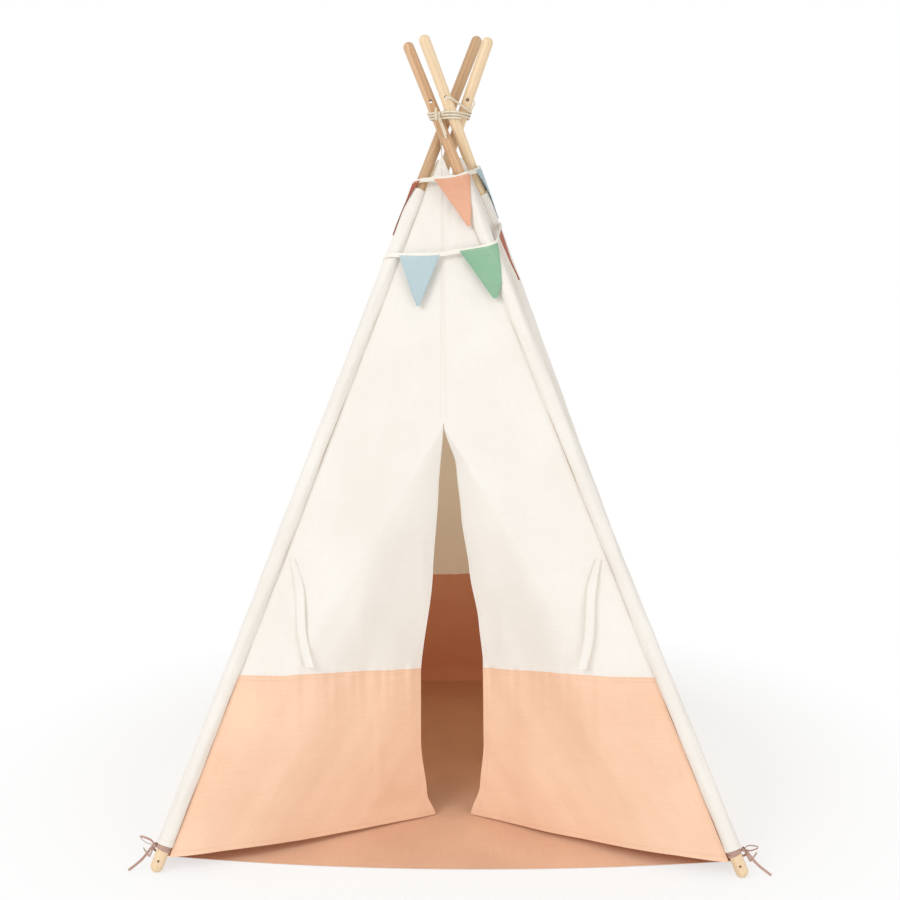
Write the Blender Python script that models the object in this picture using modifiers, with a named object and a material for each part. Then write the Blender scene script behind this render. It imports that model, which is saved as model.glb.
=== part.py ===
"""Kids teepee: four lashed wooden poles, a sewn cotton cover with a two-flap door, a floor mat and bunting.

Metres, +Z up. The origin is on the floor in the middle of the base, and the door faces -Y.
"""
import math

import bmesh
import bpy
import numpy as np
from mathutils import Matrix, Vector

# Overall frame: four poles that cross in a whirl, each passing beside the middle
BASE_HALF = 0.553            # middle of the base to the line of the feet, along X and Y
CROSS_HEIGHT = 1.434         # height at which the poles pass each other
CROSS_OFFSET = 0.024         # how far each pole passes from the middle there
TOP_LENGTH = 0.222           # pole left above the crossing
FRONT_LEFT_EXTRA = 0.022     # the front left pole stands a little further out of the lashing
BACK_LESS = 0.016            # and the two back poles a little less

# Poles: two dowels joined by a steel tube
POLE_RADIUS = 0.012
SPLICE_HEIGHT = 0.74         # height at which the two dowels of a pole meet
FERRULE_LENGTH = 0.110
FERRULE_WALL = 0.0008
CORD_HOLE_RADIUS = 0.004
CORD_HOLE_ABOVE = 0.068      # from the crossing up the pole to its cord hole
FOOT_HOLE_RADIUS = 0.0025
FOOT_HOLE_ABOVE = 0.026      # from a pole's lower end to its tie hole

# Cotton cover
CLOTH = 0.0014
SLEEVE_RADIUS = 0.0160
SLEEVE_WALL = 0.0023
SLEEVE_BOTTOM = 0.047        # height of the lower end of each sleeve
SLEEVE_BELOW = 0.134         # from the crossing down to the upper end of each sleeve
PEAK_BELOW = 0.062           # from the crossing down to the tip of each panel, between two poles
BAND_HEIGHT = 0.342          # seam between the plain cloth and the coloured band
HEM_HEIGHT = 0.012           # lower edge of the side and back walls
CLEAR = 0.0003               # gap between pieces that touch
WELD = 0.00005               # vertices closer than this are merged

# Door
SLIT_HEIGHT = 0.812          # where the front seam opens
DOOR_FOOT = 0.026            # height at which a flap's crease meets the sleeve
CREASE_GAP = 0.0009          # between a flap and the fixed front at the crease
CREASE_THIN_SHARE = 0.3      # of the cloth's thickness, along the crease
DOOR_HEM = 0.0046            # height of a flap's inner lower corner
DOOR_SINK = 0.062            # how far a flap's inner corner hangs back from the slit's top
DOOR_GAP_LEFT = 0.054        # widest pull of the left flap from the middle
DOOR_GAP_RIGHT = 0.076
SLIT_START = 0.0012          # width of the slit at its top
DOOR_FOLD = 0.008            # height of the soft folds in a flap
DOOR_SEAM_DROP = 0.030       # how much lower the band seam hangs at a flap's inner edge
LEFT_EDGE_SHARES = ((0.0, 0.0), (0.16, 0.22), (0.38, 0.47), (0.63, 0.98), (0.82, 1.0),
                    (0.95, 0.78), (1.0, 0.47))
RIGHT_EDGE_SHARES = ((0.0, 0.0), (0.10, 0.33), (0.23, 0.455), (0.37, 0.66), (0.50, 0.895), (0.60, 1.0),
                     (0.82, 1.0), (0.93, 0.885), (1.0, 0.62))

# Mat
MAT_HALF = 0.535             # middle to side edge
MAT_CORNER = 0.490           # middle to a corner, from front to back
MAT_BOW = 0.040              # how far the front and back edges bow out
MAT_THICK = 0.0035

# Lashing
LASH_RADIUS = 0.0025
LASH_TURNS = 3
LASH_PITCH = 0.0060
LASH_ABOVE = 0.0185          # from the crossing up to the lowest turn
HINGE_ABOVE = 0.0200         # from the crossing up to the point where a pole turns in the lashing
STRING_RADIUS = 0.0012
KNOT_RADIUS = 0.0065
LONG_TAIL = 0.048
SHORT_TAIL = 0.040

# Bunting
TAPE_WIDTH = 0.009
TAPE_THICK = 0.0012
TAPE_BELOW = 0.2965          # from the crossing to the lower turn, at the middle of the left wall
TAPE_RISE = 0.0385           # climb from the middle of one wall to the middle of the next
FLAG_WIDTH = 0.087
FLAG_LENGTH = 0.100
FLAG_TIP = 0.011
FLAG_GAP = 0.0009            # from the tape to a flag
CORNER_SHARE = 0.12          # of a wall's travel, spent going round half a corner
TAPE_LEVEL_SHARE = 5.55      # walls travelled when it stops climbing
# Walls travelled, and how far the tape is above an even climb there, as a share of one wall's rise.
TAPE_SAG_SHARES = ((0, 0), (0.5, 0.10), (1.0, -0.36), (1.5, -0.34), (2.5, 0), (4.0, 0),
                   (4.5, 0.18), (5.5, -0.48), (6.5, 0.02), (7.0, 0.35))
TAPE_COLUMNS = 18            # steps of the tape along each wall
TAPE_END_SHARE = 0.002       # of a wall's travel, left between two stretches of tape

# Ties
RIBBON_WIDTH = 0.018
RIBBON_HEIGHT = 0.556        # where a tie-back leaves the sleeve's seam
RIBBON_DROP = 0.200
RIBBON_DRIFT = 0.118         # how far its lower end hangs in from the seam
TIE_RADIUS = 0.0018
TIE_KNOT = 0.0055
LONG_END_OUT = 0.045         # where the two ends of a foot's tie lie: outwards
LONG_END_IN = 0.075          # and along the wall beside it
SHORT_END_OUT = 0.050
SHORT_END_PAST = 0.012       # the other way along it

SLEEVE_TOP = CROSS_HEIGHT - SLEEVE_BELOW
PANEL_PEAK = CROSS_HEIGHT - PEAK_BELOW
LASH_START = CROSS_HEIGHT + LASH_ABOVE
LASH_MIDDLE = LASH_START + LASH_PITCH * LASH_TURNS / 2
HINGE_HEIGHT = CROSS_HEIGHT + HINGE_ABOVE
TAPE_LOW = CROSS_HEIGHT - TAPE_BELOW

CORNERS = {"front_right": (1, -1), "back_right": (1, 1), "back_left": (-1, 1), "front_left": (-1, -1)}
ROUND = ["front_left", "front_right", "back_right", "back_left"]     # the way the bunting travels
WALLS = {"front": ("front_left", "front_right"), "right": ("front_right", "back_right"),
         "back": ("back_right", "back_left"), "left": ("back_left", "front_left")}

CREAM = (0.86, 0.82, 0.75)
PEACH = (0.86, 0.55, 0.38)
MAT_PEACH = (0.80, 0.47, 0.31)
RUST = (0.38, 0.07, 0.04)
BLUE = (0.48, 0.63, 0.72)
GREEN = (0.27, 0.50, 0.35)
PINK = (0.83, 0.45, 0.33)
WOOD = (0.84, 0.63, 0.38)
STEEL = (0.60, 0.60, 0.60)
ROPE = (0.80, 0.70, 0.54)
TIE = (0.50, 0.30, 0.26)

for leftover in list(bpy.data.objects):
    bpy.data.objects.remove(leftover, do_unlink=True)

teepee = bpy.data.collections.new("kids_teepee")
cutters = bpy.data.collections.new("cutters")
for group in (teepee, cutters):
    bpy.context.scene.collection.children.link(group)


def finish(obj, colour, roughness=0.9, metallic=0.0):
    """Give an object its own plain material."""
    material = bpy.data.materials.new(obj.name + "_finish")
    material.use_nodes = True
    shader = material.node_tree.nodes["Principled BSDF"]
    shader.inputs["Base Color"].default_value = (*colour, 1.0)
    shader.inputs["Roughness"].default_value = roughness
    shader.inputs["Metallic"].default_value = metallic
    obj.data.materials.clear()
    obj.data.materials.append(material)
    return obj


def keep(obj, name, collection=teepee):
    """Name an object and put it in its collection alone."""
    obj.name = name
    obj.data.name = name
    for group in list(obj.users_collection):
        group.objects.unlink(obj)
    collection.objects.link(obj)
    return obj


def ride(obj, hinge):
    """Parent a piece to its hinge and leave it where it is."""
    obj.parent = hinge
    obj.matrix_parent_inverse = hinge.matrix_world.inverted()


# Where the poles run

def unit_out(corner):
    side_x, side_y = CORNERS[corner]
    return Vector((side_x, side_y, 0)).normalized()


def unit_around(corner):
    side_x, side_y = CORNERS[corner]
    return Vector((side_y, -side_x, 0)).normalized()


def pole_at(corner, height):
    """The point of a pole's centre line at a height."""
    side_x, side_y = CORNERS[corner]
    reach = BASE_HALF * (CROSS_HEIGHT - height) / CROSS_HEIGHT
    return unit_around(corner) * CROSS_OFFSET + Vector((side_x * reach, side_y * reach, height))


LEAN = math.atan(BASE_HALF * math.sqrt(2) / CROSS_HEIGHT)


def pole_hinge(corner):
    """An empty in the lashing, where a pole turns: its X is the fold axis and its Z runs up the pole."""
    hinge = bpy.data.objects.new("hinge_" + corner, None)
    teepee.objects.link(hinge)
    up = (pole_at(corner, CROSS_HEIGHT) - pole_at(corner, 0)).normalized()
    across = unit_around(corner)
    turned = Matrix((across, up.cross(across), up)).transposed().to_4x4()
    hinge.matrix_world = Matrix.Translation(pole_at(corner, HINGE_HEIGHT)) @ turned
    return hinge


def along_pole(height):
    """Distance up the pole from its hinge in the lashing to a height, negative below it."""
    return (height - HINGE_HEIGHT) / math.cos(LEAN)


def turned_piece(name, profile, closed, hinge, sides=20):
    """A Screw of a profile given as (radius, distance up the pole), outer side first, top to bottom."""
    mesh = bpy.data.meshes.new(name)
    edges = [(i, i + 1) for i in range(len(profile) - 1)]
    if closed:
        edges.append((len(profile) - 1, 0))
    mesh.from_pydata([(radius, 0, up) for radius, up in profile], edges, [])
    obj = bpy.data.objects.new(name, mesh)
    teepee.objects.link(obj)
    screw = obj.modifiers.new("turn", "SCREW")
    screw.steps = screw.render_steps = sides
    screw.use_merge_vertices = True
    screw.merge_threshold = WELD
    screw.use_smooth_shade = True
    obj.parent = hinge
    return obj


def dome(top, bottom, radius, rings=4):
    """Outer profile of a dowel: optional domes at either end."""
    points = []
    steps = [math.radians(90) * i / rings for i in range(rings + 1)]
    if top[1]:
        points += [(radius * math.sin(a), top[0] - radius + radius * math.cos(a)) for a in steps]
    else:
        points += [(0, top[0]), (radius, top[0])]
    if bottom[1]:
        points += [(radius * math.cos(a), bottom[0] + radius - radius * math.sin(a)) for a in steps]
    else:
        points += [(radius, bottom[0]), (0, bottom[0])]
    return [(0 if abs(radius_here) < WELD else radius_here, up) for radius_here, up in points]


def drill(dowel, along, radius, name):
    """A hole through a dowel, bored from front to back."""
    hinge = dowel.parent
    at = hinge.matrix_world @ Vector((0, 0, along))
    length = POLE_RADIUS * 4
    bpy.ops.mesh.primitive_cylinder_add(vertices=12, radius=radius, depth=length, location=at,
                                        rotation=(math.radians(90), 0, 0))
    bit = keep(bpy.context.active_object, "bit_" + name, cutters)
    bit.hide_render = True
    bit.display_type = "WIRE"
    cut = dowel.modifiers.new("hole_" + name, "BOOLEAN")
    cut.object = bit
    cut.solver = "EXACT"


FOOT_END = along_pole(POLE_RADIUS) - POLE_RADIUS       # the dome's lowest point touches the floor


def make_pole(corner, hinge):
    """Two dowels, butted inside a steel tube."""
    splice = along_pole(SPLICE_HEIGHT)
    tip = along_pole(CROSS_HEIGHT) + TOP_LENGTH
    if corner == "front_left":
        tip += FRONT_LEFT_EXTRA
    elif corner.startswith("back"):
        tip -= BACK_LESS
    lower = turned_piece("pole_lower_" + corner, dome((splice - CLEAR, False), (FOOT_END, True),
                                                      POLE_RADIUS), False, hinge)
    upper = turned_piece("pole_upper_" + corner, dome((tip, True), (splice, False), POLE_RADIUS),
                         False, hinge)
    inner = POLE_RADIUS + CLEAR
    outer = inner + FERRULE_WALL
    half = FERRULE_LENGTH / 2
    ring = [(outer, splice + half), (outer, splice - half), (inner, splice - half), (inner, splice + half)]
    ferrule = turned_piece("pole_ferrule_" + corner, ring, True, hinge)
    bpy.context.view_layer.update()
    drill(upper, along_pole(CROSS_HEIGHT) + CORD_HOLE_ABOVE, CORD_HOLE_RADIUS, "cord_" + corner)
    drill(lower, FOOT_END + FOOT_HOLE_ABOVE, FOOT_HOLE_RADIUS, "foot_" + corner)
    finish(lower, WOOD, 0.55)
    finish(upper, WOOD, 0.55)
    finish(ferrule, STEEL, 0.35, 1.0)


def make_sleeve(corner, hinge):
    """The channel of cloth that a pole slides through."""
    top, bottom = along_pole(SLEEVE_TOP), along_pole(SLEEVE_BOTTOM)
    inner = SLEEVE_RADIUS - SLEEVE_WALL
    ring = [(SLEEVE_RADIUS, top), (SLEEVE_RADIUS, bottom), (inner, bottom), (inner, top)]
    finish(turned_piece("sleeve_" + corner, ring, True, hinge), CREAM)


# Sheets of cloth

def sheet(name, patches, colour, thickness, hinge=None):
    """One node of cloth. Each patch is (columns, rows, place, thin side or None)."""
    shape = bmesh.new()
    thin = []
    for columns, rows, place, thin_side in patches:
        grid = bmesh.ops.create_grid(shape, x_segments=columns, y_segments=rows, size=1)
        for vert in grid["verts"]:
            across = (vert.co.x + 1) / 2
            along = (vert.co.y + 1) / 2
            if thin_side is not None and abs(across - thin_side) < 1e-6:
                thin.append(vert)
            vert.co = place(across, along)
    shape.verts.index_update()
    thin_indices = [vert.index for vert in thin]
    all_indices = [vert.index for vert in shape.verts]
    mesh = bpy.data.meshes.new(name)
    shape.to_mesh(mesh)
    shape.free()
    obj = bpy.data.objects.new(name, mesh)
    teepee.objects.link(obj)
    solid = obj.modifiers.new("cloth", "SOLIDIFY")
    solid.thickness = thickness
    solid.offset = 0
    if thin_indices:
        weights = obj.vertex_groups.new(name="full_thickness")
        full = sorted(set(all_indices) - set(thin_indices))
        weights.add(full, 1.0, "REPLACE")
        solid.vertex_group = weights.name
        solid.thickness_vertex_group = CREASE_THIN_SHARE
    if hinge:
        ride(obj, hinge)
    return finish(obj, colour)


def mix(start, end, share):
    return start + (end - start) * share


def middle_of(corner, other, height):
    return mix(pole_at(corner, height), pole_at(other, height), 0.5)


def seam_of(corner, other, height):
    """Edge of a wall where it is sewn to a sleeve."""
    axis = pole_at(corner, height)
    inward = (middle_of(corner, other, height) - axis).normalized()
    along = (pole_at(corner, CROSS_HEIGHT) - pole_at(corner, 0)).normalized().dot(inward)
    return axis + inward * (SLEEVE_RADIUS + CLEAR) / math.sqrt(1 - along ** 2)


def half_wall(corner, other, low, high, peaked):
    """Place function of half a wall: across runs from the sleeve to the wall's middle."""
    def place(across, along):
        top = mix(high, PANEL_PEAK, across) if peaked else high
        height = mix(low, top, along)
        seam = seam_of(corner, other, height)
        middle = middle_of(corner, other, height)
        middle = middle + (seam - middle).normalized() * CLEAR / 2
        return mix(seam, middle, across)
    return place


def make_walls(hinges):
    """The side and back walls, each half on its own pole, in plain cloth over a coloured band."""
    for wall, ends in WALLS.items():
        if wall == "front":
            continue
        for corner, other in (ends, ends[::-1]):
            side = corner if wall == "back" else corner.split("_")[0]
            label = wall + "_" + side.replace("back_", "")
            upper = half_wall(corner, other, BAND_HEIGHT + CLEAR / 2, SLEEVE_TOP, True)
            lower = half_wall(corner, other, HEM_HEIGHT, BAND_HEIGHT - CLEAR / 2, False)
            sheet("wall_" + label, [(4, 8, upper, None)], CREAM, CLOTH, hinges[corner])
            sheet("band_" + label, [(4, 3, lower, None)], PEACH, CLOTH, hinges[corner])


def slit_top():
    return middle_of("front_left", "front_right", SLIT_HEIGHT)


def crease_foot(corner, other):
    return seam_of(corner, other, DOOR_FOOT)


def crease_at(corner, other, height):
    """A point on the straight crease that a flap turns on."""
    share = (SLIT_HEIGHT - height) / (SLIT_HEIGHT - DOOR_FOOT)
    return mix(slit_top(), crease_foot(corner, other), share)


def make_front(corner, other, hinge):
    """The fixed half of the front: from the sleeve to the seam, and to the crease below the slit."""
    start = mix(DOOR_FOOT, SLIT_HEIGHT, 1 / 16)

    def place(across, along):
        if along <= 0.5:
            height = mix(start, SLIT_HEIGHT, along * 2)
            limit = crease_at(corner, other, height)
        else:
            top = mix(SLEEVE_TOP, PANEL_PEAK, across)
            height = mix(SLIT_HEIGHT, top, along * 2 - 1)
            limit = middle_of(corner, other, height)
        seam = seam_of(corner, other, height)
        limit = limit + (seam - limit).normalized() * CREASE_GAP / 2
        return mix(seam, limit, across)
    sheet("front_panel_" + corner.split("_")[1], [(5, 16, place, 1)], CREAM, CLOTH, hinge)


def edge_share(drop, edge_shares):
    """How far the inner edge of a flap is pulled aside, at a share of its height below the slit's top."""
    drops = [point[0] for point in edge_shares]
    pulls = [point[1] for point in edge_shares]
    after = max(1, min(len(drops) - 1, int(np.searchsorted(drops, drop))))
    before = after - 1
    share = (drop - drops[before]) / (drops[after] - drops[before])
    smooth = share * share * (3 - 2 * share)
    return mix(pulls[before], pulls[after], mix(share, smooth, 0.5))


def flap_point(corner, other, across, crease_drop, edge_drop):
    """A point of a hanging door flap: ruled from the crease to the inner edge, with soft folds."""
    side = CORNERS[corner][0]
    if side < 0:
        pull = DOOR_GAP_LEFT * edge_share(edge_drop, LEFT_EDGE_SHARES)
    else:
        pull = DOOR_GAP_RIGHT * edge_share(edge_drop, RIGHT_EDGE_SHARES)
    top = slit_top()
    crease = mix(top, crease_foot(corner, other), crease_drop)
    edge = top + Vector((side * (SLIT_START / 2 + pull), -DOOR_SINK * edge_drop,
                         (DOOR_HEM - SLIT_HEIGHT) * edge_drop))
    crease = crease + (edge - crease).normalized() * CREASE_GAP / 2
    point = mix(crease, edge, across)
    width = (edge - crease).length
    fade = math.sin(math.pi * across) * min(1, edge_drop * 1.3) * math.cos(math.pi / 2 * edge_drop ** 6)
    lift = DOOR_FOLD * fade * math.sin(width / (BASE_HALF * 0.21) * across * math.pi + 0.6)
    return point + Vector((0, -lift, 0))


def make_flap(corner, other, flap_hinge):
    """A door flap in two cloths, sewn along the band seam."""
    side = corner.split("_")[1]
    crease_seam = (SLIT_HEIGHT - BAND_HEIGHT) / (SLIT_HEIGHT - DOOR_FOOT)
    edge_seam = (SLIT_HEIGHT - BAND_HEIGHT + DOOR_SEAM_DROP) / (SLIT_HEIGHT - DOOR_HEM)
    first = 1 / 64
    gap = CLEAR / 2 / SLIT_HEIGHT

    def upper(across, along):
        share = 1 - along
        return flap_point(corner, other, across, mix(first, crease_seam - gap, share),
                          mix(first, edge_seam - gap, share))

    def lower(across, along):
        share = 1 - along
        return flap_point(corner, other, across, mix(crease_seam + gap, 1, share),
                          mix(edge_seam + gap, 1, share))
    sheet("door_flap_" + side, [(12, 12, upper, 0)], CREAM, CLOTH, flap_hinge)
    sheet("door_band_" + side, [(16, 8, lower, 0)], PEACH, CLOTH, flap_hinge)


def crease_hinge(corner, other, pole_hinge_empty):
    """An empty on the crease: its X runs down the crease."""
    hinge = bpy.data.objects.new("crease_" + corner.split("_")[1], None)
    teepee.objects.link(hinge)
    down = (crease_foot(corner, other) - slit_top()).normalized()
    hinge.matrix_world = Matrix.Translation(slit_top()) @ down.to_track_quat("X", "Z").to_matrix().to_4x4()
    ride(hinge, pole_hinge_empty)
    bpy.context.view_layer.update()
    return hinge


def on_mat(x, y, height):
    """A point of the mat, which lies turned a little, in line with the feet."""
    turn = -math.atan(CROSS_OFFSET / math.sqrt(2) / BASE_HALF)
    return Matrix.Rotation(turn, 3, "Z") @ Vector((x, y, height))


def make_mat():
    """The floor mat, in two halves that fold up along its middle crease."""
    for half, side in (("front", -1), ("back", 1)):
        hinge = bpy.data.objects.new("mat_crease_" + half, None)
        teepee.objects.link(hinge)
        hinge.location = on_mat(0, 0, MAT_THICK)
        bpy.context.view_layer.update()

        def place(across, along, side=side):
            x = mix(-MAT_HALF, MAT_HALF, across)
            edge = MAT_CORNER + MAT_BOW * (1 - (x / MAT_HALF) ** 2)
            near, far = (CLEAR / 2, edge)
            y = side * (mix(near, far, along) if side > 0 else mix(far, near, along))
            return on_mat(x, y, MAT_THICK / 2)
        sheet("mat_" + half, [(12, 2, place, None)], MAT_PEACH, MAT_THICK, hinge)


# Cords: the lashing, and what winds round the four poles

def wrap_corner(visit, height, spread):
    """A corner of a loop round the poles: its centre, and the headings at which the loop meets and
    leaves it."""
    names = [ROUND[(visit + step) % 4] for step in (-1, 0, 1)]
    before, here, after = [pole_at(name, height) for name in names]
    meet = here - before
    leave = after - here
    start = math.atan2(-meet.x, meet.y)
    end = math.atan2(-leave.x, leave.y)
    while end < start:
        end += 2 * math.pi
    return here, start, end, spread


def on_arc(corner_data, share):
    here, start, end, spread = corner_data
    heading = mix(start, end, share)
    return here + Vector((math.cos(heading), math.sin(heading), 0)) * spread


def tube(name, routes, radius, sides_level=2):
    """Cords of one node: a curve object with one poly spline for each route."""
    curve = bpy.data.curves.new(name, "CURVE")
    curve.dimensions = "3D"
    curve.bevel_depth = radius
    curve.bevel_resolution = sides_level
    curve.use_fill_caps = True
    for route in routes:
        spline = curve.splines.new("POLY")
        spline.points.add(len(route) - 1)
        for point, place in zip(spline.points, route):
            point.co = (*place, 1)
    obj = bpy.data.objects.new(name, curve)
    teepee.objects.link(obj)
    return obj


def smooth_route(points, count):
    """A smooth curve through hand-chosen points, read at even steps."""
    table = np.array([tuple(point) for point in points])
    knots = np.arange(len(points))
    out = []
    for at in np.linspace(0, len(points) - 1, count):
        first = min(int(at), len(points) - 2)
        local = at - first
        p1, p2 = table[first], table[first + 1]
        p0 = table[first - 1] if first > 0 else 2 * p1 - p2
        p3 = table[first + 2] if first + 2 < len(knots) else 2 * p2 - p1
        value = 0.5 * (2 * p1 + (p2 - p0) * local + (2 * p0 - 5 * p1 + 4 * p2 - p3) * local ** 2
                       + (3 * p1 - p0 - 3 * p2 + p3) * local ** 3)
        out.append(Vector(value))
    return out


LASH_SPREAD = (POLE_RADIUS + CLEAR + LASH_RADIUS) / math.cos(LEAN)


def lashing_route():
    """From the mouth of the front hole, across to the right, then down round the four poles."""
    corner = "back_right"
    up = (pole_at(corner, CROSS_HEIGHT) - pole_at(corner, 0)).normalized()
    hole = pole_at(corner, CROSS_HEIGHT) + up * CORD_HOLE_ABOVE
    out = Vector((0, -1, 0))
    route = [hole + out * (POLE_RADIUS / math.cos(LEAN) + CLEAR), hole + out * LASH_SPREAD]
    steps = 6
    first = ROUND.index("back_left")
    top = LASH_START + LASH_PITCH * LASH_TURNS
    for visit in range(4 * LASH_TURNS):
        for step in range(steps):
            share = step / (steps - 1)
            travel = (visit + (step + 0.5) / steps) / 4
            height = top - LASH_PITCH * travel
            route.append(on_arc(wrap_corner(first + visit, height, LASH_SPREAD), share))
    here, heading, _, spread = wrap_corner(first, top, LASH_SPREAD)
    ease = []
    for share in (0.5, 1.0):
        height = hole.z - LASH_PITCH * share / 2
        turn = mix(-math.pi / 2, heading, share)
        ease.append(pole_at(corner, height) + Vector((math.cos(turn), math.sin(turn), 0)) * spread)
    return route[:2] + ease + route[2:]


def least_self_gap(route, radius, skip):
    """Least distance between the surfaces of parts of one cord that are not neighbours along it."""
    points = np.array([tuple(point) for point in route])
    dense = []
    for first, second in zip(points, points[1:]):
        for share in np.linspace(0, 1, 5)[:-1]:
            dense.append(first + (second - first) * share)
    dense = np.array(dense)
    least = None
    for i in range(len(dense) - skip):
        gap = np.linalg.norm(dense[i + skip:] - dense[i], axis=1).min() - 2 * radius
        least = gap if least is None else min(least, gap)
    return least


def as_mesh(obj, name, collection):
    """A mesh object with the evaluated shape of a curve or mesh, its caps welded."""
    bpy.context.view_layer.update()
    graph = bpy.context.evaluated_depsgraph_get()
    mesh = bpy.data.meshes.new_from_object(obj.evaluated_get(graph))
    shape = bmesh.new()
    shape.from_mesh(mesh)
    bmesh.ops.remove_doubles(shape, verts=shape.verts, dist=WELD)
    bmesh.ops.recalc_face_normals(shape, faces=shape.faces)
    shape.to_mesh(mesh)
    shape.free()
    solid = bpy.data.objects.new(name, mesh)
    solid.matrix_world = obj.matrix_world
    collection.objects.link(solid)
    bpy.data.objects.remove(obj, do_unlink=True)
    return solid


def joined(name, pieces, colour, hinge=None):
    """One node: the first piece with the others joined to it."""
    body = as_mesh(pieces[0], name, teepee)
    for number, piece in enumerate(pieces[1:]):
        tool = as_mesh(piece, "%s_join_%d" % (name, number), cutters)
        tool.hide_render = True
        tool.display_type = "WIRE"
        union = body.modifiers.new("join_%d" % number, "BOOLEAN")
        union.operation = "UNION"
        union.solver = "EXACT"
        union.object = tool
    if hinge:
        ride(body, hinge)
    return finish(body, colour)


def ball(radius, place):
    bpy.ops.mesh.primitive_uv_sphere_add(segments=12, ring_count=8, radius=radius, location=place)
    return keep(bpy.context.active_object, "knot")


def make_lashing():
    """The cord that binds the poles, its knot and tails, and the string that holds up the cover."""
    route = lashing_route()
    print("least gap of the lashing to itself, mm:", least_self_gap(route, LASH_RADIUS, 24) * 1000)
    finish(tube("lashing_cord", [route], LASH_RADIUS, 1), ROPE)

    left = on_arc(wrap_corner(ROUND.index("front_right"), LASH_MIDDLE, LASH_SPREAD), 1)
    front = on_arc(wrap_corner(ROUND.index("back_right"), LASH_MIDDLE, LASH_SPREAD), 0)
    out = (front - left).cross(Vector((0, 0, 1))).normalized()
    knot_at = mix(left, front, 0.45) + out * (LASH_RADIUS + KNOT_RADIUS + CLEAR * 2)
    knot_at.z = LASH_MIDDLE
    knot = ball(KNOT_RADIUS, knot_at)
    tails = []
    start = knot_at + Vector((0, 0, -KNOT_RADIUS * 0.5))
    for side, length in ((0, LONG_TAIL), (1, SHORT_TAIL)):
        sway = Vector((KNOT_RADIUS * 0.55, -KNOT_RADIUS * 0.2, 0)) * side
        first = start + sway
        path = [first, first + Vector((length * 0.22, 0, -length * 0.42)) + out * LASH_RADIUS,
                first + Vector((length * 0.45, 0, -length)) + out * LASH_RADIUS * 1.6]
        tails.append(smooth_route(path, 9))
    joined("lashing_tails", [knot] + [tube("tail", [tail], LASH_RADIUS * 0.8) for tail in tails], ROPE)

    def between(height, proud):
        """A point between the two poles that cross on the left, set proud of the line between them."""
        first, second = pole_at("front_right", height), pole_at("front_left", height)
        line = second - first
        return mix(first, second, 0.5) + Vector((-line.y, line.x, 0)).normalized() * proud
    peak = middle_of("front_left", "front_right", PANEL_PEAK)
    start = peak + Vector((0, 0, STRING_RADIUS * 0.6 + CLEAR))
    under = LASH_START - LASH_RADIUS - STRING_RADIUS - CLEAR * 2
    route = [start, between(mix(start.z, under, 0.5), STRING_RADIUS * 3), between(under, LASH_SPREAD)]
    finish(tube("canopy_string", [smooth_route(route, 12)], STRING_RADIUS), ROPE)


# Bunting: one tape that climbs round the cover, and its flags

TAPE_SPREAD = SLEEVE_RADIUS / math.cos(LEAN) + CLEAR + TAPE_THICK


def tape_height(travel):
    """The tape climbs evenly, then runs out level behind the right wall, and sags between the poles."""
    low, high = TAPE_SAG_SHARES[0], TAPE_SAG_SHARES[-1]
    spot = min(max(travel, low[0]), high[0])
    for before, after in zip(TAPE_SAG_SHARES, TAPE_SAG_SHARES[1:]):
        if before[0] <= spot <= after[0]:
            low, high = before, after
    share = (spot - low[0]) / (high[0] - low[0])
    sag = mix(low[1], high[1], share * share * (3 - 2 * share))
    return TAPE_LOW + TAPE_RISE * (min(travel, TAPE_LEVEL_SHARE) + sag)


def tape_corner(visit, drop):
    return wrap_corner(visit % 4, tape_height(visit + 0.5) + drop, TAPE_SPREAD)


def tape_at(travel, drop=0.0):
    """A point of the tape. Travel counts walls from the middle of the left wall, going to the front."""
    visit = math.floor(travel)
    local = travel - visit
    reach = 0.5 - CORNER_SHARE
    here = tape_corner(visit, drop)
    if local < reach:
        before, meet = on_arc(tape_corner(visit - 1, drop), 1), on_arc(here, 0)
        point = mix(mix(before, meet, 0.5), meet, local / reach)
    elif local > 1 - reach:
        leave, after = on_arc(here, 1), on_arc(tape_corner(visit + 1, drop), 0)
        point = mix(leave, mix(leave, after, 0.5), (local - 1 + reach) / reach)
    else:
        point = on_arc(here, (local - reach) / (2 * CORNER_SHARE))
    point.z = tape_height(travel) + drop
    return point


def travel_by(start, distance):
    """The travel that lies a distance along the tape from a start."""
    step = math.copysign(0.005, distance)
    travel, left = start, abs(distance)
    here = tape_at(travel)
    while left > 0:
        there = tape_at(travel + step)
        left -= (there - here).length
        travel, here = travel + step, there
    return travel


STRETCH_SHARES = (("low_left", "front_left", 0, 1), ("low_front", "front_right", 1, 2),
                  ("low_right", "back_right", 2, 3), ("back", "back_left", 3, 4),
                  ("high_left", "front_left", 4, 5), ("high_front", "front_right", 5, 6.95))
# Each flag: walls travelled at the middle of its top and at its tip, and its colour.
FLAG_SHARES = ((0.14, 0.14, "rust", RUST), (0.845, 0.88, "blue", BLUE), (1.325, 1.31, "green", GREEN),
               (2.06, 2.10, "rust", RUST), (2.76, 2.76, "pink", PINK), (3.42, 3.42, "blue", BLUE),
               (4.35, 4.36, "rust", RUST), (5.31, 5.29, "pink", PINK), (6.48, 6.48, "blue", BLUE))


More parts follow.
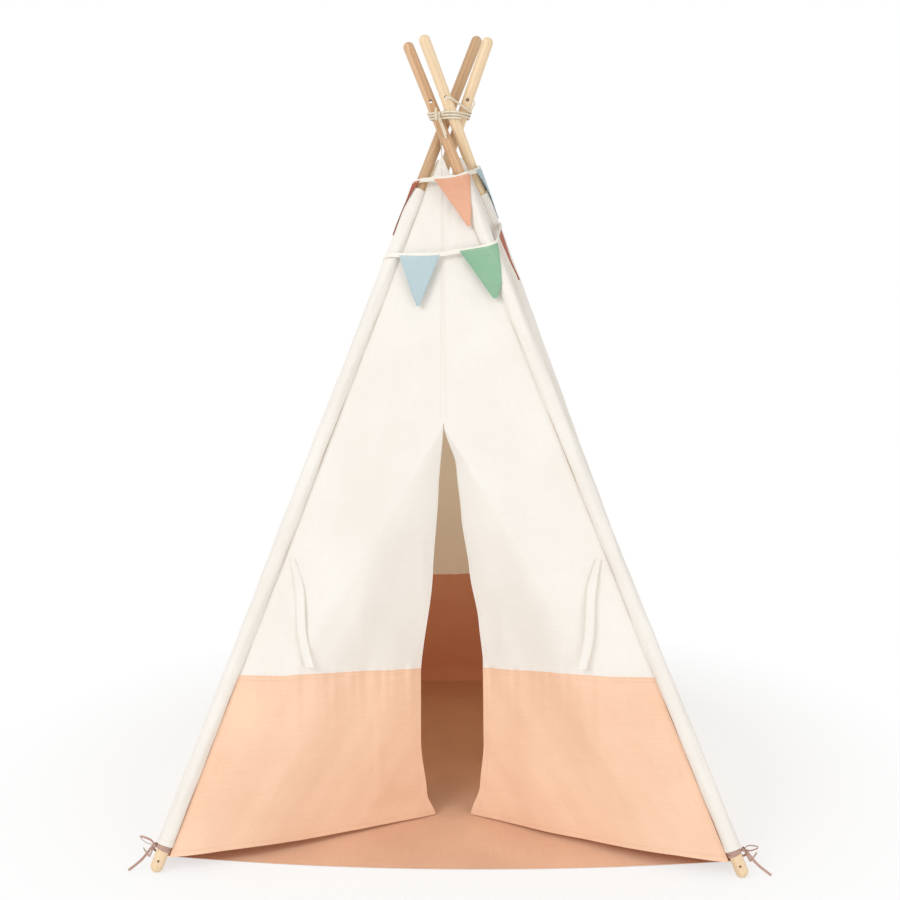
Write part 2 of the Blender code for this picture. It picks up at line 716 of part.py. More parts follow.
def make_bunting(hinges):
    for label, corner, begin, end in STRETCH_SHARES:
        def place(across, along, begin=begin, end=end):
            travel = mix(begin + TAPE_END_SHARE, end - TAPE_END_SHARE, across)
            return tape_at(travel, mix(-TAPE_WIDTH / 2, TAPE_WIDTH / 2, along))
        columns = math.ceil(TAPE_COLUMNS * (end - begin))
        sheet("bunting_tape_" + label, [(columns, 1, place, None)], CREAM, TAPE_THICK, hinges[corner])

    for number, (travel, tip, colour_name, colour) in enumerate(FLAG_SHARES, 1):
        left = travel_by(travel, -FLAG_WIDTH / 2)
        right = travel_by(travel, FLAG_WIDTH / 2)

        def place(across, along, left=left, right=right, tip=tip):
            drop = TAPE_WIDTH / 2 + FLAG_GAP + FLAG_LENGTH * (1 - along)
            room = CROSS_HEIGHT - tape_height(tip)
            narrow = mix(1, FLAG_TIP / FLAG_WIDTH, 1 - along) * room / (room + drop)
            return tape_at(mix(tip, mix(left, right, across), narrow), -drop)
        corner = ROUND[math.floor(travel) % 4]
        sheet("flag_%d_%s" % (number, colour_name), [(16, 4, place, None)], colour, CLOTH / 2,
              hinges[corner])


# Ribbons

def make_tieback(corner, other, hinge):
    """A ribbon sewn in the sleeve's seam, hanging down the front for tying the flap back."""
    low = RIBBON_HEIGHT - RIBBON_DROP
    slope = seam_of(corner, other, RIBBON_HEIGHT) - seam_of(corner, other, low)
    row = middle_of(corner, other, low) - seam_of(corner, other, low)
    normal = slope.cross(row).normalized()
    if normal.y > 0:
        normal = -normal

    def place(across, along):
        drop = 1 - along
        height = mix(RIBBON_HEIGHT, low, drop)
        seam = seam_of(corner, other, height)
        inward = (middle_of(corner, other, height) - seam).normalized()
        stand = CLOTH * 1.3 + (DOOR_FOLD + CLOTH) * math.sin(math.pi / 2 * drop)
        sway = RIBBON_WIDTH * 0.25 * math.sin(2 * math.pi * drop)
        return seam + inward * (RIBBON_WIDTH * (across + 0.4) + RIBBON_DRIFT * drop + sway) + normal * stand
    sheet("tieback_" + corner.split("_")[1], [(2, 10, place, None)], CREAM, CLOTH * 0.7, hinge)


def make_foot_tie(corner, hinge):
    """The mat's ribbon, tied round the foot of a pole: beside it at the front, behind it at the back."""
    side_x, side_y = CORNERS[corner]
    ring_up = along_pole(SLEEVE_BOTTOM) - TIE_KNOT - CLEAR
    bpy.ops.mesh.primitive_torus_add(major_segments=20, minor_segments=8,
                                     major_radius=POLE_RADIUS + CLEAR + TIE_RADIUS, minor_radius=TIE_RADIUS)
    ring = keep(bpy.context.active_object, "ring")
    ring.matrix_world = hinge.matrix_world @ Matrix.Translation((0, 0, ring_up))
    bpy.context.view_layer.update()
    centre = hinge.matrix_world @ Vector((0, 0, ring_up))
    if side_y < 0:
        out, inward = Vector((side_x, 0, 0)), Vector((0, -side_y, 0))
    else:
        out, inward = Vector((0, side_y, 0)), Vector((-side_x, 0, 0))
    up = (hinge.matrix_world.to_3x3() @ Vector((0, 0, 1))).normalized()
    ring_radius = POLE_RADIUS + CLEAR + TIE_RADIUS
    sideways = (out - up * out.dot(up)).normalized()
    knot_at = centre + sideways * (ring_radius + TIE_KNOT * 0.7)
    knot = ball(TIE_KNOT, knot_at)
    floor = TIE_RADIUS + CLEAR
    away = TIE_KNOT / 2
    long_end = knot_at + out * LONG_END_OUT + inward * LONG_END_IN
    long_end.z = floor
    long_mid = mix(knot_at, long_end, 0.55)
    long_mid.z = floor * 2.2
    short_end = knot_at + out * SHORT_END_OUT - inward * SHORT_END_PAST
    short_end.z = floor
    short_mid = mix(knot_at, short_end, 0.5)
    short_mid.z = knot_at.z * 0.45
    routes = [smooth_route([knot_at + out * away * 0.8 + inward * away * 0.8, long_mid, long_end], 12),
              smooth_route([knot_at + out * away * 1.2 - inward * away * 0.4, short_mid, short_end], 10)]
    mat_corner = on_mat(side_x * MAT_HALF, side_y * MAT_CORNER, MAT_THICK)
    sewn = mat_corner + Vector((side_x, side_y, 0)).normalized() * (TIE_RADIUS + CLEAR * 2)
    toward = mat_corner - centre
    toward = (toward - up * toward.dot(up)).normalized()
    near_ring = centre + toward * ring_radius
    sewn.z = floor
    routes.append(smooth_route([sewn, mix(sewn, near_ring, 0.5), near_ring], 8))
    joined("foot_tie_" + corner, [ring, knot] + [tube("tail", [route], TIE_RADIUS) for route in routes],
           TIE, hinge)


def build():
    hinges = {corner: pole_hinge(corner) for corner in CORNERS}
    bpy.context.view_layer.update()
    for corner, hinge in hinges.items():
        make_pole(corner, hinge)
        make_sleeve(corner, hinge)
        make_foot_tie(corner, hinge)
    make_walls(hinges)
    for corner, other in (WALLS["front"], WALLS["front"][::-1]):
        make_front(corner, other, hinges[corner])
        make_flap(corner, other, crease_hinge(corner, other, hinges[corner]))
        make_tieback(corner, other, hinges[corner])
    make_mat()
    make_lashing()
    make_bunting(hinges)


build()
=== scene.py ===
"""Kids teepee: the looks of a lashed four-pole play tent with a cotton cover, a mat and bunting.

Metres, +Z up, the door faces -Y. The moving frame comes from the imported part.
"""

import math
import random

import bpy
import numpy as np
from mathutils import Matrix, Vector


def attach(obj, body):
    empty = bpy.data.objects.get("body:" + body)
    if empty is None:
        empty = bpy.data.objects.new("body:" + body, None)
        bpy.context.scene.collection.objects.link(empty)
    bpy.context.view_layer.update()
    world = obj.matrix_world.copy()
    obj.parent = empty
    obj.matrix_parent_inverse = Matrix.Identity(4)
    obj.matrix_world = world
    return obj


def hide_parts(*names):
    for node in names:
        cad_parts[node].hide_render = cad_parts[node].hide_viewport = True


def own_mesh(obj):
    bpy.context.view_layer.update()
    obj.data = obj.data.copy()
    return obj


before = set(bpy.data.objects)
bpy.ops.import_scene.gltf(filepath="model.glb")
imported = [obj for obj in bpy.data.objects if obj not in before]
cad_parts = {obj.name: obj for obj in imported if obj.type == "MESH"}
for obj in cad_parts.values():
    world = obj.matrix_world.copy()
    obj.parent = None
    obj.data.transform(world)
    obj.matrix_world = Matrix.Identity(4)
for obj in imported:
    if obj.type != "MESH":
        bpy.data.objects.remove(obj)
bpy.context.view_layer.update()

# Studio: a seamless white floor under an even white dome, with one large soft lamp from the upper left
# and a weaker one from the right, and the camera at the photograph's place.
CAMERA_PLACE, CAMERA_LENS, CAMERA_DIP, CAMERA_YAW = (0.024, -2.6, 1.080), 46.424, 0.134, 0.012
LAMPS = (("key_lamp", (-2.6, -3.2, 3.0), 62.0, 2.2), ("fill_lamp", (2.6, -3.2, 1.2), 27.0, 2.4))
FLOOR_SIZE, FLOOR_DROP, SHADOW_REACH, FADE_REACH, SHADOW_GLOW_SHARE = 18.0, 0.0004, 0.7, 1.15, 0.66

camera_data = bpy.data.cameras.new("camera")
camera_data.sensor_width = 36.0
camera_data.lens = CAMERA_LENS
camera = bpy.data.objects.new("camera", camera_data)
bpy.context.scene.collection.objects.link(camera)
tilt = (Matrix.Rotation(CAMERA_YAW, 3, "Z") @ Matrix.Rotation(math.radians(90) - CAMERA_DIP, 3, "X")
        @ Matrix.Rotation(-CAMERA_YAW, 3, "Z"))
camera.matrix_world = Matrix.Translation(CAMERA_PLACE) @ tilt.to_4x4()
bpy.context.scene.camera = camera
bpy.context.scene.view_settings.view_transform = "Standard"

for name, place, watts, size in LAMPS:
    lamp_data = bpy.data.lights.new(name, "AREA")
    lamp_data.energy = watts
    lamp_data.size = size
    lamp = bpy.data.objects.new(name, lamp_data)
    bpy.context.scene.collection.objects.link(lamp)
    aim = Vector((0, 0, 0.7)) - Vector(place)
    lamp.matrix_world = Matrix.Translation(place) @ aim.to_track_quat("-Z", "Y").to_matrix().to_4x4()


def wire(tree, kind, inputs=(), **settings):
    """A new node with its settings and inputs. An input is a value, or a socket that is linked to it."""
    node = tree.nodes.new(kind)
    for key, value in settings.items():
        setattr(node, key, value)
    for key, value in dict(inputs).items():
        if isinstance(value, bpy.types.NodeSocket):
            tree.links.new(value, node.inputs[key])
        else:
            node.inputs[key].default_value = value
    return node


def work_out(tree, operation, *values):
    """The outcome of a sum on values or sockets."""
    return wire(tree, "ShaderNodeMath", dict(enumerate(values)), operation=operation).outputs[0]


def remap(tree, value, low=0.0, high=1.0, start=0.0, end=1.0):
    """A value from low to high, drawn out from start to end and held there."""
    return wire(tree, "ShaderNodeMapRange", {"Value": value, "From Min": low, "From Max": high,
                                             "To Min": start, "To Max": end}).outputs[0]


def seen_directly(tree):
    """1 for rays from the camera, off a gloss or through glass, which show the backdrop white."""
    path = tree.nodes.new("ShaderNodeLightPath").outputs
    first = work_out(tree, "MAXIMUM", path["Is Camera Ray"], path["Is Glossy Ray"])
    return work_out(tree, "MAXIMUM", first, path["Is Transmission Ray"])


world = bpy.data.worlds.new("studio")
bpy.context.scene.world = world
world.use_nodes = True
tree = world.node_tree
tree.nodes.clear()
dome = wire(tree, "ShaderNodeBackground", {"Color": (1.0, 0.985, 0.96, 1.0), "Strength": 0.74})
white = wire(tree, "ShaderNodeBackground", {"Color": (1.0, 1.0, 1.0, 1.0), "Strength": 1.0})
both = wire(tree, "ShaderNodeMixShader", {0: seen_directly(tree), 1: dome.outputs[0], 2: white.outputs[0]})
wire(tree, "ShaderNodeOutputWorld", {"Surface": both.outputs[0]})

bpy.ops.object.select_all(action="DESELECT")
bpy.ops.mesh.primitive_plane_add(size=FLOOR_SIZE, location=(0, 0, -FLOOR_DROP))
floor = bpy.context.active_object
floor.name = "studio_floor"
paper = bpy.data.materials.new("studio_paper")
paper.use_nodes = True
tree = paper.node_tree
tree.nodes.clear()
where = tree.nodes.new("ShaderNodeTexCoord")
far = wire(tree, "ShaderNodeVectorMath", {0: where.outputs["Object"]}, operation="LENGTH")
away = remap(tree, far.outputs["Value"], SHADOW_REACH, FADE_REACH, SHADOW_GLOW_SHARE)
shown = work_out(tree, "MULTIPLY", away, seen_directly(tree))
sheet_white = wire(tree, "ShaderNodeBsdfPrincipled", {"Base Color": (0.93, 0.93, 0.925, 1.0),
                                                      "Roughness": 0.9, "Specular IOR Level": 0.1})
glow = wire(tree, "ShaderNodeEmission", {"Color": (1, 1, 1, 1), "Strength": 1.0})
both = wire(tree, "ShaderNodeMixShader", {0: shown, 1: sheet_white.outputs[0], 2: glow.outputs[0]})
wire(tree, "ShaderNodeOutputMaterial", {"Surface": both.outputs[0]})
floor.data.materials.append(paper)

# Where the poles run: four dowels that pass each other in a whirl 1.43 m up. The cords come first,
# and their routes wind round these lines.
BASE_HALF, CROSS_HEIGHT, CROSS_OFFSET = 0.553, 1.434, 0.024
POLE_RADIUS, SLEEVE_RADIUS, CLEAR = 0.012, 0.0160, 0.0003
CORNERS = {"front_right": (1, -1), "back_right": (1, 1), "back_left": (-1, 1), "front_left": (-1, -1)}
ROUND = ["front_left", "front_right", "back_right", "back_left"]
LEAN = math.atan(BASE_HALF * math.sqrt(2) / CROSS_HEIGHT)


def unit(vector):
    """Vectors drawn to length one."""
    vector = np.asarray(vector, float)
    return vector / np.maximum(np.linalg.norm(vector, axis=-1, keepdims=True), 1e-12)


def mix(start, end, share):
    """A value or point part of the way from start to end."""
    return start + (end - start) * share


def pole_at(corner, height):
    """Points of a pole's centre line at one or more heights."""
    side_x, side_y = CORNERS[corner]
    height = np.asarray(height, float)
    reach = BASE_HALF * (CROSS_HEIGHT - height) / CROSS_HEIGHT
    past = CROSS_OFFSET / math.sqrt(2)
    return np.stack([side_y * past + side_x * reach, -side_x * past + side_y * reach, height], -1)


def up_pole(corner):
    """The direction of a pole, foot to tip."""
    return unit(pole_at(corner, CROSS_HEIGHT) - pole_at(corner, 0.0))


def smooth_line(points, count):
    """A smooth curve through given points, read at even steps."""
    table = [np.asarray(point, float) for point in points]
    table = [2 * table[0] - table[1]] + table + [2 * table[-1] - table[-2]]
    out = []
    for at in np.linspace(0, len(points) - 1, count):
        first = min(int(at), len(points) - 2)
        t = at - first
        p0, p1, p2, p3 = table[first:first + 4]
        out.append(0.5 * (2 * p1 + (p2 - p0) * t + (2 * p0 - 5 * p1 + 4 * p2 - p3) * t ** 2
                          + (3 * p1 - p0 - 3 * p2 + p3) * t ** 3))
    return np.array(out)


def run_of(line):
    """Distance along a line to each of its points."""
    return np.concatenate([[0], np.cumsum(np.linalg.norm(np.diff(line, axis=0), axis=1))])


def read_at(at, far, line):
    """Points of a line at given distances along it."""
    return np.stack([np.interp(at, far, line[:, k]) for k in range(3)], -1)


def even_steps(line, step):
    """The same line, read at even distances."""
    line = np.asarray(line, float)
    far = run_of(line)
    return read_at(np.linspace(0, far[-1], max(3, int(far[-1] / step) + 1)), far, line)


def length_of(line):
    """Length of a line of points."""
    return float(np.linalg.norm(np.diff(np.asarray(line, float), axis=0), axis=1).sum())


def frames_on(line, first_side=None):
    """Heading, side and up at each point of a line, carried along without twist."""
    heading = unit(np.gradient(line, axis=0))
    side = np.asarray(first_side if first_side is not None else
                      np.cross(heading[0], (0.31, 0.47, 0.83)), float)
    sides = []
    for way in heading:
        side = unit(side - way * side.dot(way))
        sides.append(side)
    sides = np.array(sides)
    return heading, sides, np.cross(heading, sides)


def read_whole(items, field, kind=np.int32, width=1):
    """One field of all the items of a mesh, as an array."""
    values = np.empty(len(items) * width, kind)
    items.foreach_get(field, values)
    return values.reshape(-1, width) if width > 1 else values


def lay_uv(mesh, uv):
    """Gives every face corner the UV place of its point."""
    layer = mesh.uv_layers.active or mesh.uv_layers.new(name="UVMap")
    corners = read_whole(mesh.loops, "vertex_index")
    layer.data.foreach_set("uv", uv[corners].astype(np.float32).ravel())


def new_piece(name, parts, material):
    """One object from (points, faces, uv) parts, its ends closed and its faces outward."""
    points, faces, uvs, total = [], [], [], 0
    for verts, quads, uv in parts:
        points.append(verts)
        uvs.append(uv)
        faces += [[number + total for number in face] for face in quads]
        total += len(verts)
    mesh = bpy.data.meshes.new(name)
    mesh.from_pydata(np.concatenate(points).tolist(), [], faces)
    lay_uv(mesh, np.concatenate(uvs))
    mesh.shade_smooth()
    mesh.materials.append(material)
    obj = bpy.data.objects.new(name, mesh)
    bpy.context.scene.collection.objects.link(obj)
    return obj


def tube_part(line, across, thick=None, sides=8, first_side=None, ends=True):
    """A round or flat tube along a line, as (points, faces, uv), its ends rounded off."""
    thick = across if thick is None else thick
    heading, side, up = frames_on(line, first_side)
    far = run_of(line)
    across = np.broadcast_to(np.asarray(across, float), (len(line),)).copy()
    thick = np.broadcast_to(np.asarray(thick, float), (len(line),)).copy()
    turn = np.linspace(0, 2 * math.pi, sides, endpoint=False)
    ring = (side[:, None, :] * (np.cos(turn)[None, :, None] * across[:, None, None])
            + up[:, None, :] * (np.sin(turn)[None, :, None] * thick[:, None, None]))
    verts = (line[:, None, :] + ring).reshape(-1, 3)
    uv = np.stack([np.broadcast_to(turn / (2 * math.pi) * 0.02, (len(line), sides)),
                   np.broadcast_to(far[:, None], (len(line), sides))], -1).reshape(-1, 2)
    faces = []
    for i in range(len(line) - 1):
        for j in range(sides):
            k = (j + 1) % sides
            faces.append([i * sides + j, i * sides + k, (i + 1) * sides + k, (i + 1) * sides + j])
    if ends:
        last = len(line) - 1
        bulge = 0.45 * thick[0]
        verts = np.concatenate([verts, [line[0] - heading[0] * bulge, line[-1] + heading[-1] * bulge]])
        uv = np.concatenate([uv, [[0, far[0]], [0, far[-1]]]])
        first_end, last_end = len(verts) - 2, len(verts) - 1
        for j in range(sides):
            k = (j + 1) % sides
            faces.append([k, j, first_end])
            faces.append([last * sides + j, last * sides + k, last_end])
    return verts, faces, uv


def rope_parts(line, radius, pitch, strands=3, sides=7):
    """Twisted strands along a line: each strand is a tube that winds round it."""
    line = even_steps(line, pitch / 12)
    _, side, up = frames_on(line)
    far = np.linspace(0, length_of(line), len(line))
    parts = []
    for number in range(strands):
        turn = 2 * math.pi * (far / pitch + number / strands)
        centre = line + (side * np.cos(turn)[:, None] + up * np.sin(turn)[:, None]) * radius * 0.50
        parts.append(tube_part(centre, radius * 0.535, sides=sides))
    return parts


def noise(tree, where, scale, detail, roughness=0.5):
    """Cloudy grey from 0 to 1 at places given by a socket."""
    return wire(tree, "ShaderNodeTexNoise", {"Vector": where, "Scale": scale, "Detail": detail,
                                             "Roughness": roughness}).outputs[0]


def new_group(name, inputs, outputs):
    """An empty node group with number sockets, and its input node."""
    group = bpy.data.node_groups.new(name, "ShaderNodeTree")
    for way, labels in (("INPUT", inputs), ("OUTPUT", outputs)):
        for label in labels:
            group.interface.new_socket(label, in_out=way, socket_type="NodeSocketFloat")
    return group, group.nodes.new("NodeGroupInput")


def thread_group():
    """Node group: fine spun fibres that run along a cord or thread, read from its UV map."""
    group, given = new_group("spun_fibre", ("Scale",), ("Height", "Shade"))
    where = group.nodes.new("ShaderNodeTexCoord")
    turned = wire(group, "ShaderNodeMapping", {"Vector": where.outputs["UV"],
                                               "Rotation": (0, 0, 0.5), "Scale": (6.0, 1.0, 1.0)})
    fine = noise(group, turned.outputs[0], given.outputs["Scale"], 3.0, 0.6)
    broad = noise(group, where.outputs["Object"], 60.0, 2.0)
    shade = work_out(group, "MULTIPLY", work_out(group, "ADD", fine, broad), 0.5)
    wire(group, "NodeGroupOutput", {"Height": fine, "Shade": shade})
    return group


spun_fibre = thread_group()


def new_material(name):
    """A material and its node tree."""
    material = bpy.data.materials.new(name)
    material.use_nodes = True
    return material, material.node_tree


def two_tone(tree, share, dark, light):
    """A colour between two colours."""
    return wire(tree, "ShaderNodeMix", {0: share, 6: (*dark, 1.0), 7: (*light, 1.0)},
                data_type="RGBA").outputs[2]


def finish(tree, colour, rough, height, bump, depth, specular, sheen):
    """Joins a colour, a roughness and a relief to the shader, and sets its gloss and sheen."""
    shader = tree.nodes["Principled BSDF"]
    raised = wire(tree, "ShaderNodeBump", {"Height": height, "Strength": bump, "Distance": depth})
    tree.links.new(colour, shader.inputs["Base Color"])
    tree.links.new(rough, shader.inputs["Roughness"])
    tree.links.new(raised.outputs[0], shader.inputs["Normal"])
    shader.inputs["Specular IOR Level"].default_value = specular
    shader.inputs["Sheen Weight"].default_value = sheen
    return shader


YARN_DEPTH = 0.0004


def spun_material(name, dark, light, scale=260.0):
    """Cotton yarn: matt, and darker where the fibre relief is low: painted shade between its fibres, mixed
    with random fibre tone.
    """
    material, tree = new_material(name)
    fibres = wire(tree, "ShaderNodeGroup", node_tree=spun_fibre)
    fibres.inputs["Scale"].default_value = scale
    shade, height = fibres.outputs["Shade"], fibres.outputs["Height"]
    finish(tree, two_tone(tree, remap(tree, shade, 0.3, 0.7), dark, light),
           remap(tree, shade, start=0.78, end=0.95), height, 0.35, YARN_DEPTH, 0.25, 0.15)
    return material


def belong(piece, body, node=None):
    """A piece's body, and the solid of the part that it stands for, which is hidden."""
    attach(piece, body)
    if node:
        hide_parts(node)


cord_cotton = spun_material("lashing_cotton", (0.70, 0.60, 0.45), (0.90, 0.83, 0.70))
tie_cotton = spun_material("dusty_tie", (0.40, 0.24, 0.20), (0.60, 0.41, 0.35))

# Lashing: one thick cotton cord comes out of the back right pole's hole, winds three times round all four
# poles and is knotted at the front. Two short strands run down from the left poles' holes.
LASH_RADIUS, LASH_TURNS, LASH_PITCH, LASH_START = 0.0025, 3, 0.0060, CROSS_HEIGHT + 0.0185
LASH_MIDDLE = LASH_START + LASH_PITCH * LASH_TURNS / 2
LASH_SPREAD = (POLE_RADIUS + CLEAR + LASH_RADIUS) / math.cos(LEAN)
KNOT_RADIUS, LONG_TAIL, SHORT_TAIL, HOLE_ABOVE = 0.0065, 0.048, 0.040, 0.068


def wrap_corner(visit, height, spread):
    """A corner of a loop round the poles: its centre and the headings where the loop meets and leaves it."""
    before, here, after = [pole_at(ROUND[(visit + step) % 4], height) for step in (-1, 0, 1)]
    meet, leave = here - before, after - here
    start, end = math.atan2(-meet[0], meet[1]), math.atan2(-leave[0], leave[1])
    while end < start:
        end += 2 * math.pi
    return here, start, end, spread


def on_arc(corner_data, share):
    """A point on a loop's corner, at a share of the way round it."""
    here, start, end, spread = corner_data
    turn = mix(start, end, share)
    return here + np.array((math.cos(turn), math.sin(turn), 0)) * spread


def lashing_route():
    """Out of the front of the hole, round the pole's corner, then down round the four poles."""
    hole = pole_at("back_right", CROSS_HEIGHT) + up_pole("back_right") * HOLE_ABOVE
    out = np.array((0, -1.0, 0))
    route = [hole + out * POLE_RADIUS * 0.8, hole + out * LASH_SPREAD]
    first, steps = ROUND.index("back_left"), 6
    top = LASH_START + LASH_PITCH * LASH_TURNS
    heading = wrap_corner(first, top, LASH_SPREAD)[1]
    for share in (0.5, 1.0):
        turn = mix(-math.pi / 2, heading, share)
        route.append(pole_at("back_right", hole[2] - LASH_PITCH * share / 2)
                     + np.array((math.cos(turn), math.sin(turn), 0)) * LASH_SPREAD)
    for visit in range(4 * LASH_TURNS):
        for step in range(steps):
            height = top - LASH_PITCH * (visit + (step + 0.5) / steps) / 4
            route.append(on_arc(wrap_corner(first + visit, height, LASH_SPREAD), step / (steps - 1)))
    return route


lash_left = on_arc(wrap_corner(ROUND.index("front_right"), LASH_MIDDLE, LASH_SPREAD), 1)
lash_front = on_arc(wrap_corner(ROUND.index("back_right"), LASH_MIDDLE, LASH_SPREAD), 0)
knot_out = unit(np.cross(lash_front - lash_left, (0, 0, 1)))
knot_at = mix(lash_left, lash_front, 0.45) + knot_out * (LASH_RADIUS + KNOT_RADIUS + CLEAR * 2)
knot_at[2] = LASH_MIDDLE

parts = rope_parts(lashing_route(), LASH_RADIUS, 0.013)
frapping = [knot_at + np.array(spot) for spot in ((-0.001, 0.004, 0.012), (-0.002, -0.004, 0.010),
                                                  (-0.001, -0.0065, 0.0), (-0.002, -0.004, -0.010),
                                                  (-0.001, 0.004, -0.013))]
parts += rope_parts(smooth_line(frapping, 30), LASH_RADIUS * 0.9, 0.012)
lashing = new_piece("lashing_turns", parts, cord_cotton)
belong(lashing, "lashing", "lashing_cord")

knot_line = []
for turn in np.linspace(0, 1, 70):
    a = turn * 2 * math.pi
    knot_line.append(knot_at + np.array(((math.sin(a) + 2 * math.sin(2 * a)) * 0.0019,
                                         -math.sin(3 * a) * 0.0019,
                                         (math.cos(a) - 2 * math.cos(2 * a)) * 0.0019)))
lash_knot = new_piece("lashing_knot", rope_parts(knot_line, LASH_RADIUS * 0.92, 0.011), cord_cotton)
belong(lash_knot, "lashing")

for number, (label, tail) in enumerate((("long", LONG_TAIL), ("short", SHORT_TAIL))):
    start = knot_at + np.array((KNOT_RADIUS * 0.55 * number, -KNOT_RADIUS * 0.2 * number, -KNOT_RADIUS * 0.5))
    path = smooth_line([start, start + np.array((tail * 0.22, 0, -tail * 0.42)) + knot_out * LASH_RADIUS,
                        start + np.array((tail * 0.45, 0, -tail)) + knot_out * LASH_RADIUS * 1.6], 24)
    piece = new_piece("lashing_tail_" + label, rope_parts(path, LASH_RADIUS * 0.8, 0.010), cord_cotton)
    belong(piece, "lashing", "lashing_tails" if label == "long" else None)

for corner, sway in (("back_left", 0.004), ("front_left", -0.003)):
    hole = pole_at(corner, CROSS_HEIGHT) + up_pole(corner) * HOLE_ABOVE
    away = np.array((1.0, -0.35, 0)) if corner == "back_left" else np.array((-0.2, -1.0, 0))
    away = unit(away)
    foot = pole_at(corner, LASH_START + LASH_PITCH * 2.6) + away * LASH_SPREAD * 0.98
    path = [hole - away * 0.004, hole + away * POLE_RADIUS * 0.9, hole + away * (POLE_RADIUS + 0.004)
            - np.array((0, 0, 0.006)), mix(hole, foot, 0.5) + away * (POLE_RADIUS * 0.6 + sway * 0.4), foot]
    path = smooth_line(path, 40)
    piece = new_piece("pole_strand_" + corner, rope_parts(path, LASH_RADIUS * 0.8, 0.010), cord_cotton)
    belong(piece, "lashing")

# Canopy string: a thin cord from the lashing holds up the peak of the front, between the two front poles.
STRING_RADIUS, PANEL_PEAK = 0.0012, CROSS_HEIGHT - 0.062


def middle_of(corner, other, height):
    """Points half way between two poles."""
    return (pole_at(corner, height) + pole_at(other, height)) / 2


def between_fronts(height, proud):
    """A point between the front poles, set proud of the line between them."""
    first, second = pole_at("front_right", height), pole_at("front_left", height)
    line = second - first
    return (first + second) / 2 + unit((-line[1], line[0], 0)) * proud


peak = middle_of("front_left", "front_right", PANEL_PEAK)
string_start = peak + np.array((0, 0, STRING_RADIUS * 0.6 + CLEAR))
string_under = LASH_START - LASH_RADIUS - STRING_RADIUS - CLEAR * 2
string_line = smooth_line([string_start - np.array((0, 0, 0.006)), string_start,
                           between_fronts(mix(string_start[2], string_under, 0.5), STRING_RADIUS * 3),
                           between_fronts(string_under, LASH_SPREAD),
                           between_fronts(string_under + 0.008, LASH_SPREAD + 0.003)], 40)
string = new_piece("peak_string", rope_parts(string_line, STRING_RADIUS, 0.005, strands=2), cord_cotton)
belong(string, "lashing", "canopy_string")

# Foot ties: the mat's cotton ties, sewn to its corners and tied in a bow round the foot of each pole.
# A flat braid 5 mm wide; the two ends of each bow lie on the floor.
TIE_RADIUS, TIE_KNOT, SLEEVE_BOTTOM = 0.0018, 0.0055, 0.047
LONG_END_OUT, LONG_END_IN, SHORT_END_OUT, SHORT_END_PAST = 0.045, 0.075, 0.050, 0.012
MAT_HALF, MAT_CORNER, MAT_BOW, MAT_THICK = 0.535, 0.490, 0.040, 0.0035
BRAID, BRAID_THICK, TAIL_CLEAR = 0.0052, 0.0007, 0.0027
MAT_TURN = -math.atan(CROSS_OFFSET / math.sqrt(2) / BASE_HALF)


def on_mat(x, y, height):
    """Points of the mat, which lies turned a little, in line with the feet."""
    c, s = math.cos(MAT_TURN), math.sin(MAT_TURN)
    return np.stack(np.broadcast_arrays(c * x - s * y, s * x + c * y, height), -1)


def braid_part(line, width=BRAID, side=None):
    """A flat braid along a line, its flat side facing out."""
    return tube_part(even_steps(line, 0.0016), width / 2, 0.00065, sides=10, first_side=side)


